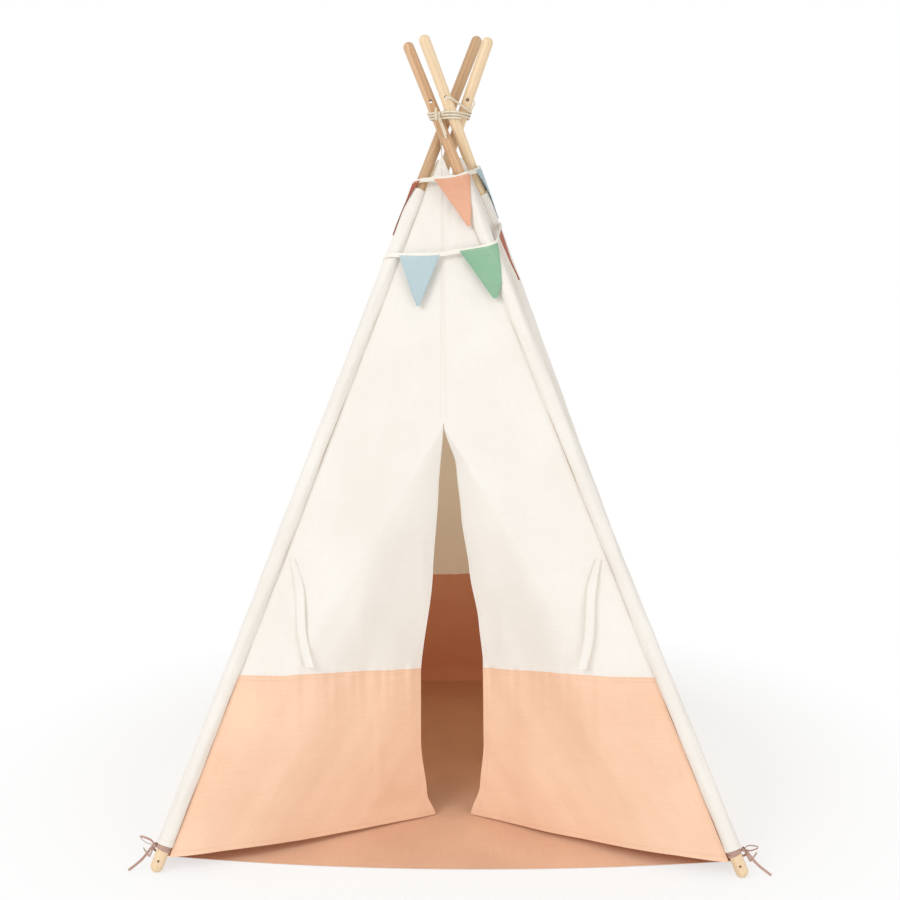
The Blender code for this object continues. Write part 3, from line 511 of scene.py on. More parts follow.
for corner, (side_x, side_y) in CORNERS.items():
    up = up_pole(corner)
    centre = pole_at(corner, SLEEVE_BOTTOM) - up * (TIE_KNOT + CLEAR)
    ring_radius = POLE_RADIUS + CLEAR + TIE_RADIUS
    if side_y < 0:
        outer, inward = np.array((side_x, 0.0, 0.0)), np.array((0.0, -side_y, 0.0))
    else:
        outer, inward = np.array((0.0, side_y, 0.0)), np.array((-side_x, 0.0, 0.0))
    sideways = unit(outer - up * outer.dot(up))
    forward = np.cross(up, sideways)
    knot = centre + sideways * (ring_radius + TIE_KNOT * 0.7)
    lie = TIE_RADIUS + CLEAR
    long_end = knot + outer * LONG_END_OUT + inward * LONG_END_IN
    long_end[2] = lie
    long_mid = mix(knot, long_end, 0.55)
    long_mid[2] = lie * 2.2
    short_end = knot + outer * SHORT_END_OUT - inward * SHORT_END_PAST
    short_end[2] = lie
    short_mid = mix(knot, short_end, 0.5)
    short_mid[2] = knot[2] * 0.45
    away = TIE_KNOT / 2
    long_start = knot + outer * away * 0.8 + inward * away * 0.8
    short_start = knot + outer * away * 1.2 - inward * away * 0.4
    lines = {"long": smooth_line([long_start, long_mid, long_end], 30),
             "short": smooth_line([short_start, short_mid, short_end], 26)}
    for line in lines.values():
        line[:, 2] = np.maximum(line[:, 2], TAIL_CLEAR)
    turn = np.linspace(0, 2 * math.pi, 60, endpoint=False)
    parts = []
    for lift, tip in ((-0.0016, 0.0014), (0.0022, -0.0012)):
        circle = np.stack([centre + (sideways * math.cos(a) + forward * math.sin(a)) * (POLE_RADIUS + 0.0011)
                           + up * (lift + tip * math.cos(a)) for a in np.append(turn, turn[0])])
        parts.append(tube_part(circle, BRAID / 2, BRAID_THICK, sides=10, first_side=up))
    mat_corner = on_mat(side_x * MAT_HALF, side_y * MAT_CORNER, MAT_THICK)
    toward = mat_corner - centre
    toward = unit(toward - up * toward.dot(up))
    strap = smooth_line([mat_corner - unit((side_x, side_y, 0)) * 0.014 + np.array((0, 0, 0.0006)),
                         mat_corner + np.array((0, 0, 0.0012)),
                         mix(mat_corner, centre + toward * ring_radius, 0.55) + np.array((0, 0, 0.003)),
                         centre + toward * (POLE_RADIUS + 0.0006)], 24)
    parts.append(tube_part(strap, BRAID / 2, BRAID_THICK, sides=10, first_side=(side_x, -side_y, 0)))
    band = new_piece("foot_band_" + corner, parts, tie_cotton)
    loops = []
    lift = 1.0 if corner == "front_left" else 0.45
    for reach, rise, lean, width in ((0.023, 0.020 * lift, 0.010, 0.006), (0.006, -0.024, -0.024, 0.007)):
        tip = knot + outer * reach + np.array((0, 0, rise)) - inward * lean
        across = np.cross(unit(tip - knot), (0.2, 1.0, 0.1))
        across = unit(across) * width
        loops.append(braid_part(smooth_line([knot, mix(knot, tip, 0.45) + across, tip + across * 0.35,
                                             tip - across * 0.35, mix(knot, tip, 0.45) - across * 0.8,
                                             knot + outer * 0.001], 46), BRAID * 0.85, side=forward))
    tight = [knot + np.array((0.0034 * math.sin(a), 0.0046 * math.cos(a), 0.0016 * math.sin(2 * a)))
             for a in np.linspace(0, 2 * math.pi, 40)]
    loops.append(tube_part(np.array(tight), 0.0026, 0.0012, sides=10, first_side=(0, 0, 1)))
    bow = new_piece("foot_bow_" + corner, loops, tie_cotton)
    belong(band, "pole_" + corner, "foot_tie_" + corner)
    belong(bow, "pole_" + corner)
    for label, line in lines.items():
        tail = new_piece("foot_tail_%s_%s" % (label, corner), [braid_part(line, side=(0, 0, 1))], tie_cotton)
        belong(tail, "pole_" + corner)

# Poles: pine dowels 24 mm thick with rounded ends, each in two lengths. A hole near the tip takes the
# lashing cord, and one near the foot is for the mat's tie.
SPLICE_HEIGHT, TOP_LENGTH, FRONT_LEFT_EXTRA, BACK_LESS = 0.74, 0.222, 0.022, 0.016
CORD_HOLE, FOOT_HOLE, FOOT_HOLE_ABOVE = 0.004, 0.0025, 0.026


def along_pole(height):
    """Distance along a pole from the crossing, negative below it."""
    return (height - CROSS_HEIGHT) / math.cos(LEAN)


def pole_frame(corner):
    """Matrix that stands a piece made upright at the origin on its pole, with the crossing at zero."""
    side_x, side_y = CORNERS[corner]
    up = Vector(up_pole(corner))
    across = Vector((side_y, -side_x, 0)).normalized()
    turned = Matrix((across, up.cross(across), up)).transposed().to_4x4()
    return Matrix.Translation(Vector(pole_at(corner, CROSS_HEIGHT))) @ turned


def grain_group():
    """Node group: pine grain along the dowel, read from the local place kept in the attribute 'stave'."""
    group, given = new_group("pine_grain", ("Seed",), ("Bands", "Height", "Pores"))
    where = wire(group, "ShaderNodeAttribute", attribute_name="stave")
    shift = wire(group, "ShaderNodeCombineXYZ", {axis: given.outputs["Seed"] for axis in "XYZ"})
    moved = wire(group, "ShaderNodeVectorMath", {0: where.outputs["Vector"], 1: shift.outputs[0]},
                 operation="ADD")
    long = wire(group, "ShaderNodeMapping", {"Vector": moved.outputs[0], "Scale": (1.0, 0.55, 0.045)})
    sway = noise(group, long.outputs[0], 55.0, 2.0)
    rings = wire(group, "ShaderNodeTexWave", {"Vector": long.outputs[0], "Scale": 52.0, "Distortion": 5.5,
                                              "Detail": 2.5, "Detail Scale": 1.4, "Detail Roughness": 0.6},
                 wave_type="BANDS", bands_direction="X", wave_profile="SAW")
    fibre_place = wire(group, "ShaderNodeMapping", {"Vector": moved.outputs[0], "Scale": (1.0, 1.0, 0.02)})
    fibres = noise(group, fibre_place.outputs[0], 1500.0, 3.0, 0.65)
    bands = work_out(group, "MULTIPLY_ADD", sway, 0.38, work_out(group, "MULTIPLY", rings.outputs[1], 0.62))
    pores = remap(group, fibres, 0.30, 0.46, 1.0, 0.0)
    wire(group, "NodeGroupOutput", {"Bands": bands, "Height": fibres, "Pores": pores})
    return group


pine_grain = grain_group()


def pine_material(name, pale, deep, seed):
    """Clear sanded pine: late wood in bands, short dark pores and a low sheen."""
    material, tree = new_material(name)
    grain = wire(tree, "ShaderNodeGroup", node_tree=pine_grain)
    grain.inputs["Seed"].default_value = seed
    fleck = wire(tree, "ShaderNodeMix", {0: grain.outputs["Pores"],
                                         6: two_tone(tree, grain.outputs["Bands"], pale, deep),
                                         7: (0.86, 0.78, 0.68, 1.0)}, data_type="RGBA", blend_type="MULTIPLY")
    height = grain.outputs["Height"]
    finish(tree, fleck.outputs[2], remap(tree, height, start=0.42, end=0.62), height, 0.12, 0.0003, 0.35, 0.0)
    return material


# The upper lengths of the two front poles get darker pine than their lower lengths: painted shade, where the
# back poles shade their tips. The warm pine is also a plain warmer wood tone on the back right foot.
PINES = {"front_left": pine_material("pine_warm_and_painted_shade", (0.70, 0.48, 0.30), (0.46, 0.27, 0.14), 0.31),
         "back_right": pine_material("pine_clear", (0.92, 0.75, 0.53), (0.78, 0.57, 0.36), 0.83),
         "front_right": pine_material("pine_deep_painted_shade", (0.78, 0.53, 0.33), (0.50, 0.28, 0.14), 0.57),
         "back_left": pine_material("pine_pale", (0.93, 0.76, 0.55), (0.76, 0.55, 0.34), 0.12)}
LOWER_PINES = {"front_left": "pine_clear", "front_right": "pine_pale", "back_right": "pine_warm_and_painted_shade",
               "back_left": "pine_clear"}


def dowel(name, low, high, round_low, round_high):
    """A cylinder from low to high, its outer end rounded and its butt end chamfered."""
    bpy.ops.object.select_all(action="DESELECT")
    bpy.ops.mesh.primitive_cylinder_add(vertices=40, radius=POLE_RADIUS, depth=high - low,
                                        location=(0, 0, (low + high) / 2))
    obj = bpy.context.active_object
    obj.name = obj.data.name = name
    bpy.ops.object.transform_apply(location=True, rotation=True, scale=True)
    bpy.context.tool_settings.mesh_select_mode = (False, True, False)
    for vert in obj.data.vertices:
        vert.select = False
    for end, rounded in ((low, round_low), (high, round_high)):
        for edge in obj.data.edges:
            edge.select = all(abs(obj.data.vertices[v].co.z - end) < 1e-5 for v in edge.vertices)
        for face in obj.data.polygons:
            face.select = False
        bpy.ops.object.mode_set(mode="EDIT")
        bpy.ops.mesh.select_mode(type="EDGE")
        bpy.ops.mesh.bevel(offset=POLE_RADIUS * 0.97 if rounded else 0.0008, segments=9 if rounded else 2)
        bpy.ops.object.mode_set(mode="OBJECT")
        for item in (*obj.data.vertices, *obj.data.edges, *obj.data.polygons):
            item.select = False
    return obj


def bore(obj, corner, at, radius):
    """A hole through a dowel from front to back."""
    place = pole_frame(corner) @ Vector((0, 0, at))
    bpy.ops.object.select_all(action="DESELECT")
    bpy.ops.mesh.primitive_cylinder_add(vertices=24, radius=radius, depth=POLE_RADIUS * 4, location=place,
                                        rotation=(math.radians(90), 0, 0))
    bit = bpy.context.active_object
    bpy.context.view_layer.objects.active = obj
    obj.select_set(True)
    bit.select_set(False)
    cut = obj.modifiers.new("bore", "BOOLEAN")
    cut.object, cut.solver = bit, "EXACT"
    bpy.ops.object.modifier_apply(modifier=cut.name)
    bpy.data.objects.remove(bit, do_unlink=True)


def keep_stave(obj, corner):
    """Notes each point's place on the upright dowel, for the grain."""
    back = pole_frame(corner).inverted()
    note = obj.data.attributes.new("stave", "FLOAT_VECTOR", "POINT")
    for vert, item in zip(obj.data.vertices, note.data):
        item.vector = back @ vert.co


foot_end = along_pole(POLE_RADIUS) - POLE_RADIUS
for corner in CORNERS:
    tip = TOP_LENGTH + (FRONT_LEFT_EXTRA if corner == "front_left" else 0.0)
    tip -= BACK_LESS if corner.startswith("back") else 0.0
    splice = along_pole(SPLICE_HEIGHT)
    for part, low, high, hole_at, hole in (
            ("lower", foot_end, splice - CLEAR, foot_end + FOOT_HOLE_ABOVE, FOOT_HOLE),
            ("upper", splice, tip, HOLE_ABOVE, CORD_HOLE)):
        piece = dowel("dowel_%s_%s" % (part, corner), low, high, part == "lower", part == "upper")
        piece.data.transform(pole_frame(corner))
        bore(piece, corner, hole_at, hole)
        keep_stave(piece, corner)
        piece.data.materials.clear()
        piece.data.materials.append(PINES[corner] if part == "upper" else
                                    bpy.data.materials[LOWER_PINES[corner]])
        bpy.ops.object.select_all(action="DESELECT")
        piece.select_set(True)
        bpy.context.view_layer.objects.active = piece
        bpy.ops.object.shade_smooth_by_angle(angle=math.radians(38))
        belong(piece, "pole_" + corner, "pole_%s_%s" % (part, corner))

# Ferrules: thin drawn steel tubes that join the two lengths of each dowel, hidden in the sleeves.
steel, tree = new_material("drawn_steel")
where = tree.nodes.new("ShaderNodeTexCoord")
stretched = wire(tree, "ShaderNodeMapping", {"Vector": where.outputs["Object"], "Scale": (40.0, 40.0, 4.0)})
scratched = remap(tree, noise(tree, stretched.outputs[0], 30.0, 4.0), start=0.22, end=0.48)
shader = tree.nodes["Principled BSDF"]
tree.links.new(scratched, shader.inputs["Roughness"])
shader.inputs["Base Color"].default_value = (0.62, 0.62, 0.63, 1.0)
shader.inputs["Metallic"].default_value = 1.0
for corner in CORNERS:
    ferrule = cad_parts["pole_ferrule_" + corner]
    ferrule.data.materials.clear()
    ferrule.data.materials.append(steel)

# Sleeves: channels of the cover's own cotton, one down each corner, that the poles slide through. Each is
# a strip folded round and sewn shut along both walls, hemmed at its two open ends.
CLOTH, SLEEVE_TOP, BAND_HEIGHT, HEM_HEIGHT = 0.0014, CROSS_HEIGHT - 0.134, 0.342, 0.005
SLEEVE_HEM, GATHERED_SHARE = 0.012, 0.165


def weave_group():
    """Node group: plain weave with slubs, read in metres from the cloth's own UV map."""
    group, given = new_group("plain_weave", ("Threads per metre", "Slub"), ("Height", "Shade"))
    where = group.nodes.new("ShaderNodeTexCoord")
    split = wire(group, "ShaderNodeSeparateXYZ", {0: where.outputs["UV"]})
    turns = work_out(group, "MULTIPLY", given.outputs["Threads per metre"], math.pi)
    warp, weft = [work_out(group, "SINE", work_out(group, "MULTIPLY", split.outputs[axis], turns))
                  for axis in "XY"]
    slubs = []
    for stretch in ((14.0, 420.0, 1.0), (420.0, 14.0, 1.0)):
        place = wire(group, "ShaderNodeMapping", {"Vector": where.outputs["UV"], "Scale": stretch})
        slubs.append(noise(group, place.outputs[0], 1.0, 2.0, 0.55))
    threads = work_out(group, "ADD", *slubs)
    cloudy = noise(group, where.outputs["Object"], 5.0, 3.0)
    shade = work_out(group, "MULTIPLY", work_out(group, "MULTIPLY_ADD", threads, 0.38, cloudy), 0.56)
    lumps = work_out(group, "MULTIPLY", threads, given.outputs["Slub"])
    height = work_out(group, "MULTIPLY_ADD", work_out(group, "MULTIPLY", warp, weft), 0.35, lumps)
    wire(group, "NodeGroupOutput", {"Height": height, "Shade": shade})
    return group


plain_weave = weave_group()


def cotton(name, dark, light, threads=1500.0, slub=1.0, bump=0.30, through=None):
    """Woven cotton: matt, with a faint sheen at grazing angles. Through is a painted glow: an emission on the
    cloth's inner face that stands in for the daylight that comes through thin cloth."""
    material, tree = new_material(name)
    weave = wire(tree, "ShaderNodeGroup", node_tree=plain_weave)
    weave.inputs["Threads per metre"].default_value = threads
    weave.inputs["Slub"].default_value = slub
    shade, height = weave.outputs["Shade"], weave.outputs["Height"]
    shader = finish(tree, two_tone(tree, remap(tree, shade, 0.36, 0.62), dark, light),
                    remap(tree, shade, start=0.82, end=0.95), height, bump, YARN_DEPTH, 0.2, 0.12)
    # Painted glow: the inner face of the cloth emits the through colour, standing in for daylight that comes
    # through it.
    if through:
        inner = wire(tree, "ShaderNodeAttribute", attribute_name="inner")
        tree.links.new(inner.outputs["Fac"], shader.inputs["Emission Strength"])
        shader.inputs["Emission Color"].default_value = (*through, 1.0)
    return material


# The cream and peach cover cloths get a painted glow on their inner faces.
cream_cotton = cotton("cream_cotton", (0.826, 0.789, 0.733), (0.884, 0.853, 0.809), slub=1.25, bump=0.36,
                      through=(0.165, 0.142, 0.098))
peach_cotton = cotton("peach_cotton", (0.850, 0.545, 0.375), (0.945, 0.650, 0.468), slub=1.25, bump=0.36,
                      through=(0.036, 0.002, 0.001))
cream_thread = spun_material("cream_thread", (0.72, 0.66, 0.56), (0.92, 0.88, 0.80), 900.0)
peach_thread = spun_material("peach_thread", (0.72, 0.46, 0.33), (0.90, 0.64, 0.49), 900.0)
STITCH, STITCH_GAP = 0.0031, 0.0011


def stitch_parts(line, away, size=0.00034):
    """Running stitches along a line of points: short plump threads that dip into the cloth."""
    line, away = np.asarray(line, float), np.asarray(away, float)
    far = run_of(line)
    starts = np.arange(STITCH_GAP, far[-1] - STITCH, STITCH + STITCH_GAP)
    if not len(starts):
        return []
    ahead = unit(read_at(starts + STITCH, far, line) - read_at(starts, far, line))
    rows = []
    for share, lift, plump in ((0.0, -0.6, 0.3), (0.22, 0.45, 1.0), (0.78, 0.45, 1.0), (1.0, -0.6, 0.3)):
        point = read_at(starts + STITCH * share, far, line)
        normal = unit(read_at(starts + STITCH * share, far, away))
        side = np.cross(ahead, normal)
        middle = point + normal * size * lift
        rows.append([middle + normal * size * plump, middle + side * size * plump * 1.15,
                     middle - normal * size * plump, middle - side * size * plump * 1.15])
    verts = np.array(rows).transpose(2, 0, 1, 3).reshape(-1, 3)
    one = []
    for r in range(3):
        for c in range(4):
            d = (c + 1) % 4
            one.append([r * 4 + c, r * 4 + d, (r + 1) * 4 + d, (r + 1) * 4 + c])
    one += [[3, 2, 1, 0], [12, 13, 14, 15]]
    faces = [[n + 16 * k for n in face] for k in range(len(starts)) for face in one]
    uv = np.tile(np.repeat(np.array([0.0, 0.0007, 0.0024, STITCH]), 4), len(starts))
    return [(verts, faces, np.stack([uv * 0, uv + np.repeat(starts, 16)], -1))]


def sewn(obj, lines, thread):
    """Joins rows of stitches to a piece of cloth, with the thread as its second material."""
    parts = []
    for line, away in lines:
        parts += stitch_parts(line, away)
    if not parts:
        return
    stitches = new_piece("stitches", parts, thread)
    bpy.ops.object.select_all(action="DESELECT")
    stitches.select_set(True)
    obj.select_set(True)
    bpy.context.view_layer.objects.active = obj
    bpy.ops.object.join()


def true_normals(mesh, normal):
    """Gives both faces of a shelled sheet the normals of the curved sheet that it was laid on."""
    count = len(normal)
    point_of = read_whole(mesh.loops, "vertex_index")
    starts, totals = read_whole(mesh.polygons, "loop_start"), read_whole(mesh.polygons, "loop_total")
    face_of = np.empty(len(mesh.loops), np.int64)
    corners = np.concatenate([np.arange(s, s + t) for s, t in zip(starts, totals)])
    face_of[corners] = np.repeat(np.arange(len(mesh.polygons)), totals)
    custom = np.zeros((len(mesh.loops), 3))
    for first, facing in ((0, 1), (count, -1)):
        on_side = (point_of >= first) & (point_of < first + count)
        whole = np.ones(len(mesh.polygons), bool)
        np.logical_and.at(whole, face_of, on_side)
        pick = whole[face_of]
        custom[pick] = normal[point_of[pick] - first] * facing
    mesh.normals_split_custom_set(custom.tolist())


def lay_cloth(name, columns, rows, place, outward, material, thick=CLOTH, proud=None, stitches=(),
              thread=None, steps=0.0002):
    """A grid laid over a curved sheet, given its thickness, its stitches and the sheet's true normals.

    place(a, r) gives points for arrays of shares across and along. outward is a rough outer direction.
    proud(a, r) is extra cloth at hems. stitches are (side, a, r) lines on the outer (1) or inner (-1) face,
    where a or r may be one number.
    """
    columns, rows = np.asarray(columns, float), np.asarray(rows, float)
    nx, ny = len(columns) - 1, len(rows) - 1
    bpy.ops.object.select_all(action="DESELECT")
    bpy.ops.mesh.primitive_grid_add(x_subdivisions=nx, y_subdivisions=ny, size=1.0, location=(0, 0, 0))
    obj = bpy.context.active_object
    obj.name = obj.data.name = name
    mesh = obj.data
    spots = read_whole(mesh.vertices, "co", float, 3)
    ci, ri = [np.rint((spots[:, axis] + 0.5) * number).astype(int) for axis, number in ((0, nx), (1, ny))]
    a, r = columns[ci], rows[ri]

    def surface(a, r):
        """Points of the sheet and its normals."""
        point = place(a, r)
        da = np.where(a > 0.5, -steps, steps)
        dr = np.where(r > 0.5, -steps, steps)
        along_a = (place(a + da, r) - point) * np.sign(da)[:, None]
        along_r = (place(a, r + dr) - point) * np.sign(dr)[:, None]
        normal = np.cross(along_a, along_r)
        short = np.linalg.norm(normal, axis=1) < 1e-13
        normal = unit(normal)
        if short.any():
            normal[short] = normal[~short].mean(axis=0)
        return point, normal
    point, normal = surface(a, r)
    outer_way = outward(point) if callable(outward) else np.asarray(outward, float)
    facing = np.sign((normal * outer_way).sum(axis=1).mean())
    normal = normal * facing
    extra = proud(a, r) if proud else np.zeros(len(a))
    half = thick / 2 + extra
    outer, inner = point + normal * half[:, None], point - normal * half[:, None]
    table = np.empty((ny + 1, nx + 1, 3))
    table[ri, ci] = point
    across = np.zeros((ny + 1, nx + 1))
    across[:, 1:] = np.cumsum(np.linalg.norm(np.diff(table, axis=1), axis=2), axis=1)
    mesh.vertices.foreach_set("co", outer.ravel())
    mesh.update()
    lay_uv(mesh, np.stack([across[ri, ci], run_of(table[:, nx // 2])[ri]], -1))
    agree = sum(face.normal.dot(normal[face.vertices[0]]) * face.area for face in mesh.polygons)
    if agree < 0:
        mesh.flip_normals()
    shell = obj.modifiers.new("thickness", "SOLIDIFY")
    shell.thickness, shell.offset, shell.use_rim = thick, -1.0, True
    bpy.ops.object.modifier_apply(modifier=shell.name)
    mesh = obj.data
    count = len(point)
    mesh.vertices.foreach_set("co", np.concatenate([outer, inner]).ravel())
    mesh.update()
    mesh.materials.clear()
    mesh.materials.append(material)
    lines = []
    for side, *line in stitches:
        a, r = np.broadcast_arrays(*line)
        on, away = surface(a, r)
        away = away * facing * side
        rise = thick / 2 + (proud(a, r) if proud else 0)
        lines.append((on + away * np.broadcast_to(rise, len(on))[:, None], away))
    if lines:
        sewn(obj, lines, thread)
    mesh = obj.data
    # The 'inner' attribute marks the inner face of the shell, where the cotton material paints its glow.
    inner_side = np.zeros(len(mesh.vertices), np.float32)
    inner_side[count:2 * count] = 1.0
    mesh.attributes.new("inner", "FLOAT", "POINT").data.foreach_set("value", inner_side)
    mesh.shade_smooth()
    true_normals(mesh, normal)
    return obj


def even(count):
    """Even shares from 0 to 1."""
    return np.linspace(0, 1, count + 1)


def with_lines(count, *marks):
    """Even shares from 0 to 1, with extra grid lines at some of them so that an edge there is crisp."""
    return np.unique(np.round(np.concatenate([even(count), marks]), 7))


def sleeve_place(corner):
    """The function that places a sleeve's cloth round its pole, and the sleeve's length."""
    up = up_pole(corner)
    side_x, side_y = CORNERS[corner]
    across = unit((side_y, -side_x, 0))
    out = np.cross(up, across)
    seed = ROUND.index(corner) * 1.7
    top, bottom = along_pole(SLEEVE_TOP), along_pole(SLEEVE_BOTTOM)

    def place(a, r):
        turn = 2 * math.pi * a
        at = mix(bottom, top, r)
        slack = (0.00050 * np.sin(3 * turn + 9.0 * at + seed)
                 + 0.00042 * np.sin(5 * turn - 23.0 * at + seed * 2)
                 + 0.00030 * np.sin(2 * turn + 61.0 * at + seed * 3))
        near = np.minimum(at - bottom, top - at)
        radius = SLEEVE_RADIUS - 0.0009 + slack * np.clip(near / 0.02, 0.25, 1)
        ring = (across[None] * np.cos(turn)[:, None] + out[None] * np.sin(turn)[:, None]) * radius[:, None]
        return pole_at(corner, CROSS_HEIGHT)[None] + up[None] * at[:, None] + ring
    return place, (top - bottom)


def gather(obj, corner, other, slot, node=None, body=None):
    """Cloth that rides a pole or a door, with a mesh of its own."""
    belong(obj, body or "pole_" + corner, node)
    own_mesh(obj)


def seam_of(corner, other, height):
    """Edge of a wall where it is sewn to a sleeve."""
    axis = pole_at(corner, height)
    inward = unit(middle_of(corner, other, height) - axis)
    along = (inward @ up_pole(corner))
    reach = (SLEEVE_RADIUS + CLEAR) / np.sqrt(1 - along ** 2)
    return axis + inward * np.asarray(reach)[..., None]


for corner in CORNERS:
    place, run = sleeve_place(corner)
    hem = SLEEVE_HEM / run
    wall_turns = []
    side_x, side_y = CORNERS[corner]
    across = unit((side_y, -side_x, 0))
    out = np.cross(up_pole(corner), across)
    for other in ROUND:
        if CORNERS[other][0] * side_x + CORNERS[other][1] * side_y == 0:
            way = middle_of(corner, other, 0.5) - pole_at(corner, 0.5)
            wall_turns.append(math.atan2(way.dot(out), way.dot(across)) / (2 * math.pi) % 1.0)
    first_turn = wall_turns[0]

    def turned(a, r, place=place, first_turn=first_turn):
        return place(a + first_turn, r)
    line, ring = even(420), even(60)
    stitches = [(1, ring, share) for share in (hem * 0.8, 1 - hem * 0.8)]
    stitches += [(1, (turn - first_turn + shift) % 1.0, line)
                 for turn in wall_turns for shift in (-0.085, 0.085)]
    obj = lay_cloth("cotton_sleeve_" + corner, even(40),
                    with_lines(150, hem, hem * 1.12, 1 - hem, 1 - hem * 1.12), turned,
                    lambda points, corner=corner: points - pole_at(corner, points[:, 2]), cream_cotton,
                    thick=0.0012, stitches=stitches, thread=cream_thread,
                    proud=lambda a, r, hem=hem: np.where(np.minimum(r, 1 - r) < hem * 1.05, 0.00035, 0.0))
    belong(obj, "pole_" + corner, "sleeve_" + corner)

# Cover walls: the left, right and back of the cover, cream cotton above and a peach band below, pulled
# taut between two sleeves. Each wall hangs as two halves that meet down its middle, one to each pole.
WALLS = {"front": ("front_left", "front_right"), "right": ("front_right", "back_right"),
         "back": ("back_right", "back_left"), "left": ("back_left", "front_left")}
OUTWARD = {"front": (0, -1, 0.3), "right": (1, 0, 0.3), "back": (0, 1, 0.3), "left": (-1, 0, 0.3)}
WALL_TOP, WALL_RUN, HEM_WIDTH, FIRST_ROW = 1.34, 1.0, 0.011, 0.006 / 0.45
HEM_TUCK, HEM_TUCK_RISE, WALL_BELLY = 0.011, 0.06, 0.006


def bell(value, middle, width):
    """1 at the middle, falling off softly on both sides."""
    return np.exp(-((value - middle) / width) ** 2)


def calm_near(distance, width, part=1.0):
    """0 at a seam and 1 well away from it, so that folds die out at the seam."""
    return 1 - np.exp(-(distance / width) ** 2) * part


def broad_fold(dice, x, height, lengths, slants, highest, spreads):
    """One broad soft fold of the cloth, chosen by the dice, about 1 high."""
    long, slant, phase = dice.uniform(*lengths), dice.uniform(-slants, slants), dice.uniform(0, 6.28)
    return (dice.uniform(0.5, 1.0) * np.sin(2 * math.pi * (x + slant * height) / long + phase)
            * bell(height, dice.uniform(0.1, highest), dice.uniform(*spreads)))


def ripples(dice, x, waves):
    """Small waves of given lengths and shares along x, each from its own start."""
    return sum(np.sin(2 * math.pi * x / long + dice.uniform(0, 6.28)) * share for long, share in waves)


def slack_of(wall, x, height):
    """How far a wall's cloth stands off its flat plane: broad soft folds, drag lines and puckers."""
    dice = random.Random("slack " + wall)
    total = np.zeros(np.broadcast(x, height).shape)
    for _ in range(6):
        total += broad_fold(dice, x, height, (0.13, 0.34), 0.5, 1.0, (0.22, 0.5))
    total *= 0.0020
    for _ in range(5):
        foot, lean, narrow = dice.uniform(-0.42, 0.42), dice.uniform(-0.5, 0.5), dice.uniform(0.010, 0.022)
        middle, spread = dice.uniform(0.15, 0.9), dice.uniform(0.10, 0.22)
        total += (dice.choice((-1, 1)) * dice.uniform(0.8, 1.6) * 0.001
                  * bell(x - foot * (1.45 - height) - lean * (height - middle), 0, narrow)
                  * bell(height, middle, spread))
    gathers = ripples(dice, x, ((0.019, 0.5), (0.027, 0.8), (0.043, 1.0), (0.071, 0.9)))
    below = BAND_HEIGHT - height
    total += 0.00075 * gathers * np.where(below > 0, np.exp(-below / 0.030), np.exp(below / 0.009))
    hem = ripples(dice, x, ((0.083, 1.0), (0.17, 1.0), (0.29, 1.0)))
    return total + 0.0011 * hem * np.exp(-np.maximum(height - HEM_HEIGHT, 0) / 0.10)


def wall_point(wall, corner, other, a, height):
    """A wall's cloth: a is 0 at the sleeve and 1 at the wall's middle."""
    seam, middle = seam_of(corner, other, height), middle_of(corner, other, height)
    width = np.linalg.norm(middle - seam, axis=-1)
    flat = mix(seam, middle, a[:, None])
    x = width * (1 - a) * (-1 if corner == WALLS[wall][0] else 1)
    away = width * a
    calm = calm_near(away, 0.035)
    rise = np.clip(height / 1.36, 0, 1)
    belly = -WALL_BELLY * (1 - (x / np.maximum(width + 0.02, 0.05)) ** 2) * np.sin(math.pi * rise)
    normal = unit(np.cross(middle - seam, up_pole(corner)))
    normal = normal * np.sign((normal @ np.asarray(OUTWARD[wall], float)))[:, None]
    tuck = -HEM_TUCK * np.clip(1 - height / HEM_TUCK_RISE, 0, 1) ** 2
    return flat + normal * ((slack_of(wall, x, height) + belly + tuck) * calm)[:, None]


def top_height(a):
    """The cover's top edge climbs beside the bare pole, then runs over a blunt peak between two poles."""
    return mix(SLEEVE_TOP, PANEL_PEAK, 1 - (1 - np.clip(a, 0, 1)) ** 3)


for wall, ends in WALLS.items():
    if wall == "front":
        continue
    for corner, other in (ends, ends[::-1]):
        side = corner if wall == "back" else corner.split("_")[0]
        label = wall + "_" + side.replace("back_", "")

        def upper(a, r, wall=wall, corner=corner, other=other):
            return wall_point(wall, corner, other, a, mix(BAND_HEIGHT - 0.006, top_height(a), r))

        def lower(a, r, wall=wall, corner=corner, other=other):
            return wall_point(wall, corner, other, a, mix(HEM_HEIGHT, BAND_HEIGHT, r))
        edge, band_edge = HEM_WIDTH / WALL_RUN, HEM_WIDTH / (BAND_HEIGHT - HEM_HEIGHT)
        down, over = even(300), even(160)
        wall_cloth = lay_cloth(
            "wall_cloth_" + label, with_lines(72, FIRST_ROW, FIRST_ROW * 2),
            with_lines(130, 1 - edge, 1 - edge * 0.93), upper,
            OUTWARD[wall], cream_cotton, thread=cream_thread,
            proud=lambda a, r, edge=edge: np.where(r > 1 - edge * 0.96, 0.0004, 0.0),
            stitches=[(1, FIRST_ROW, down * 0.97), (-1, FIRST_ROW, down * 0.97), (1, over, 1 - edge * 0.8)])
        band_cloth = lay_cloth(
            "band_cloth_" + label, with_lines(110, FIRST_ROW),
            with_lines(62, band_edge, band_edge * 1.08, 1 - band_edge * 0.9, 1 - band_edge * 0.97), lower,
            OUTWARD[wall], peach_cotton, thread=peach_thread,
            proud=lambda a, r, e=band_edge: np.where((r < e * 1.04) | (r > 1 - e * 0.93), 0.00055, 0.00015),
            stitches=[(1, over, band_edge * 0.8), (1, over, 1 - band_edge * 0.16),
                      (1, over, 1 - band_edge * 0.66), (-1, over, 1 - band_edge * 0.66),
                      (1, FIRST_ROW, down)])
        gather(wall_cloth, corner, other, "cover_cotton", "wall_" + label)
        gather(band_cloth, corner, other, "band_cotton", "band_" + label)

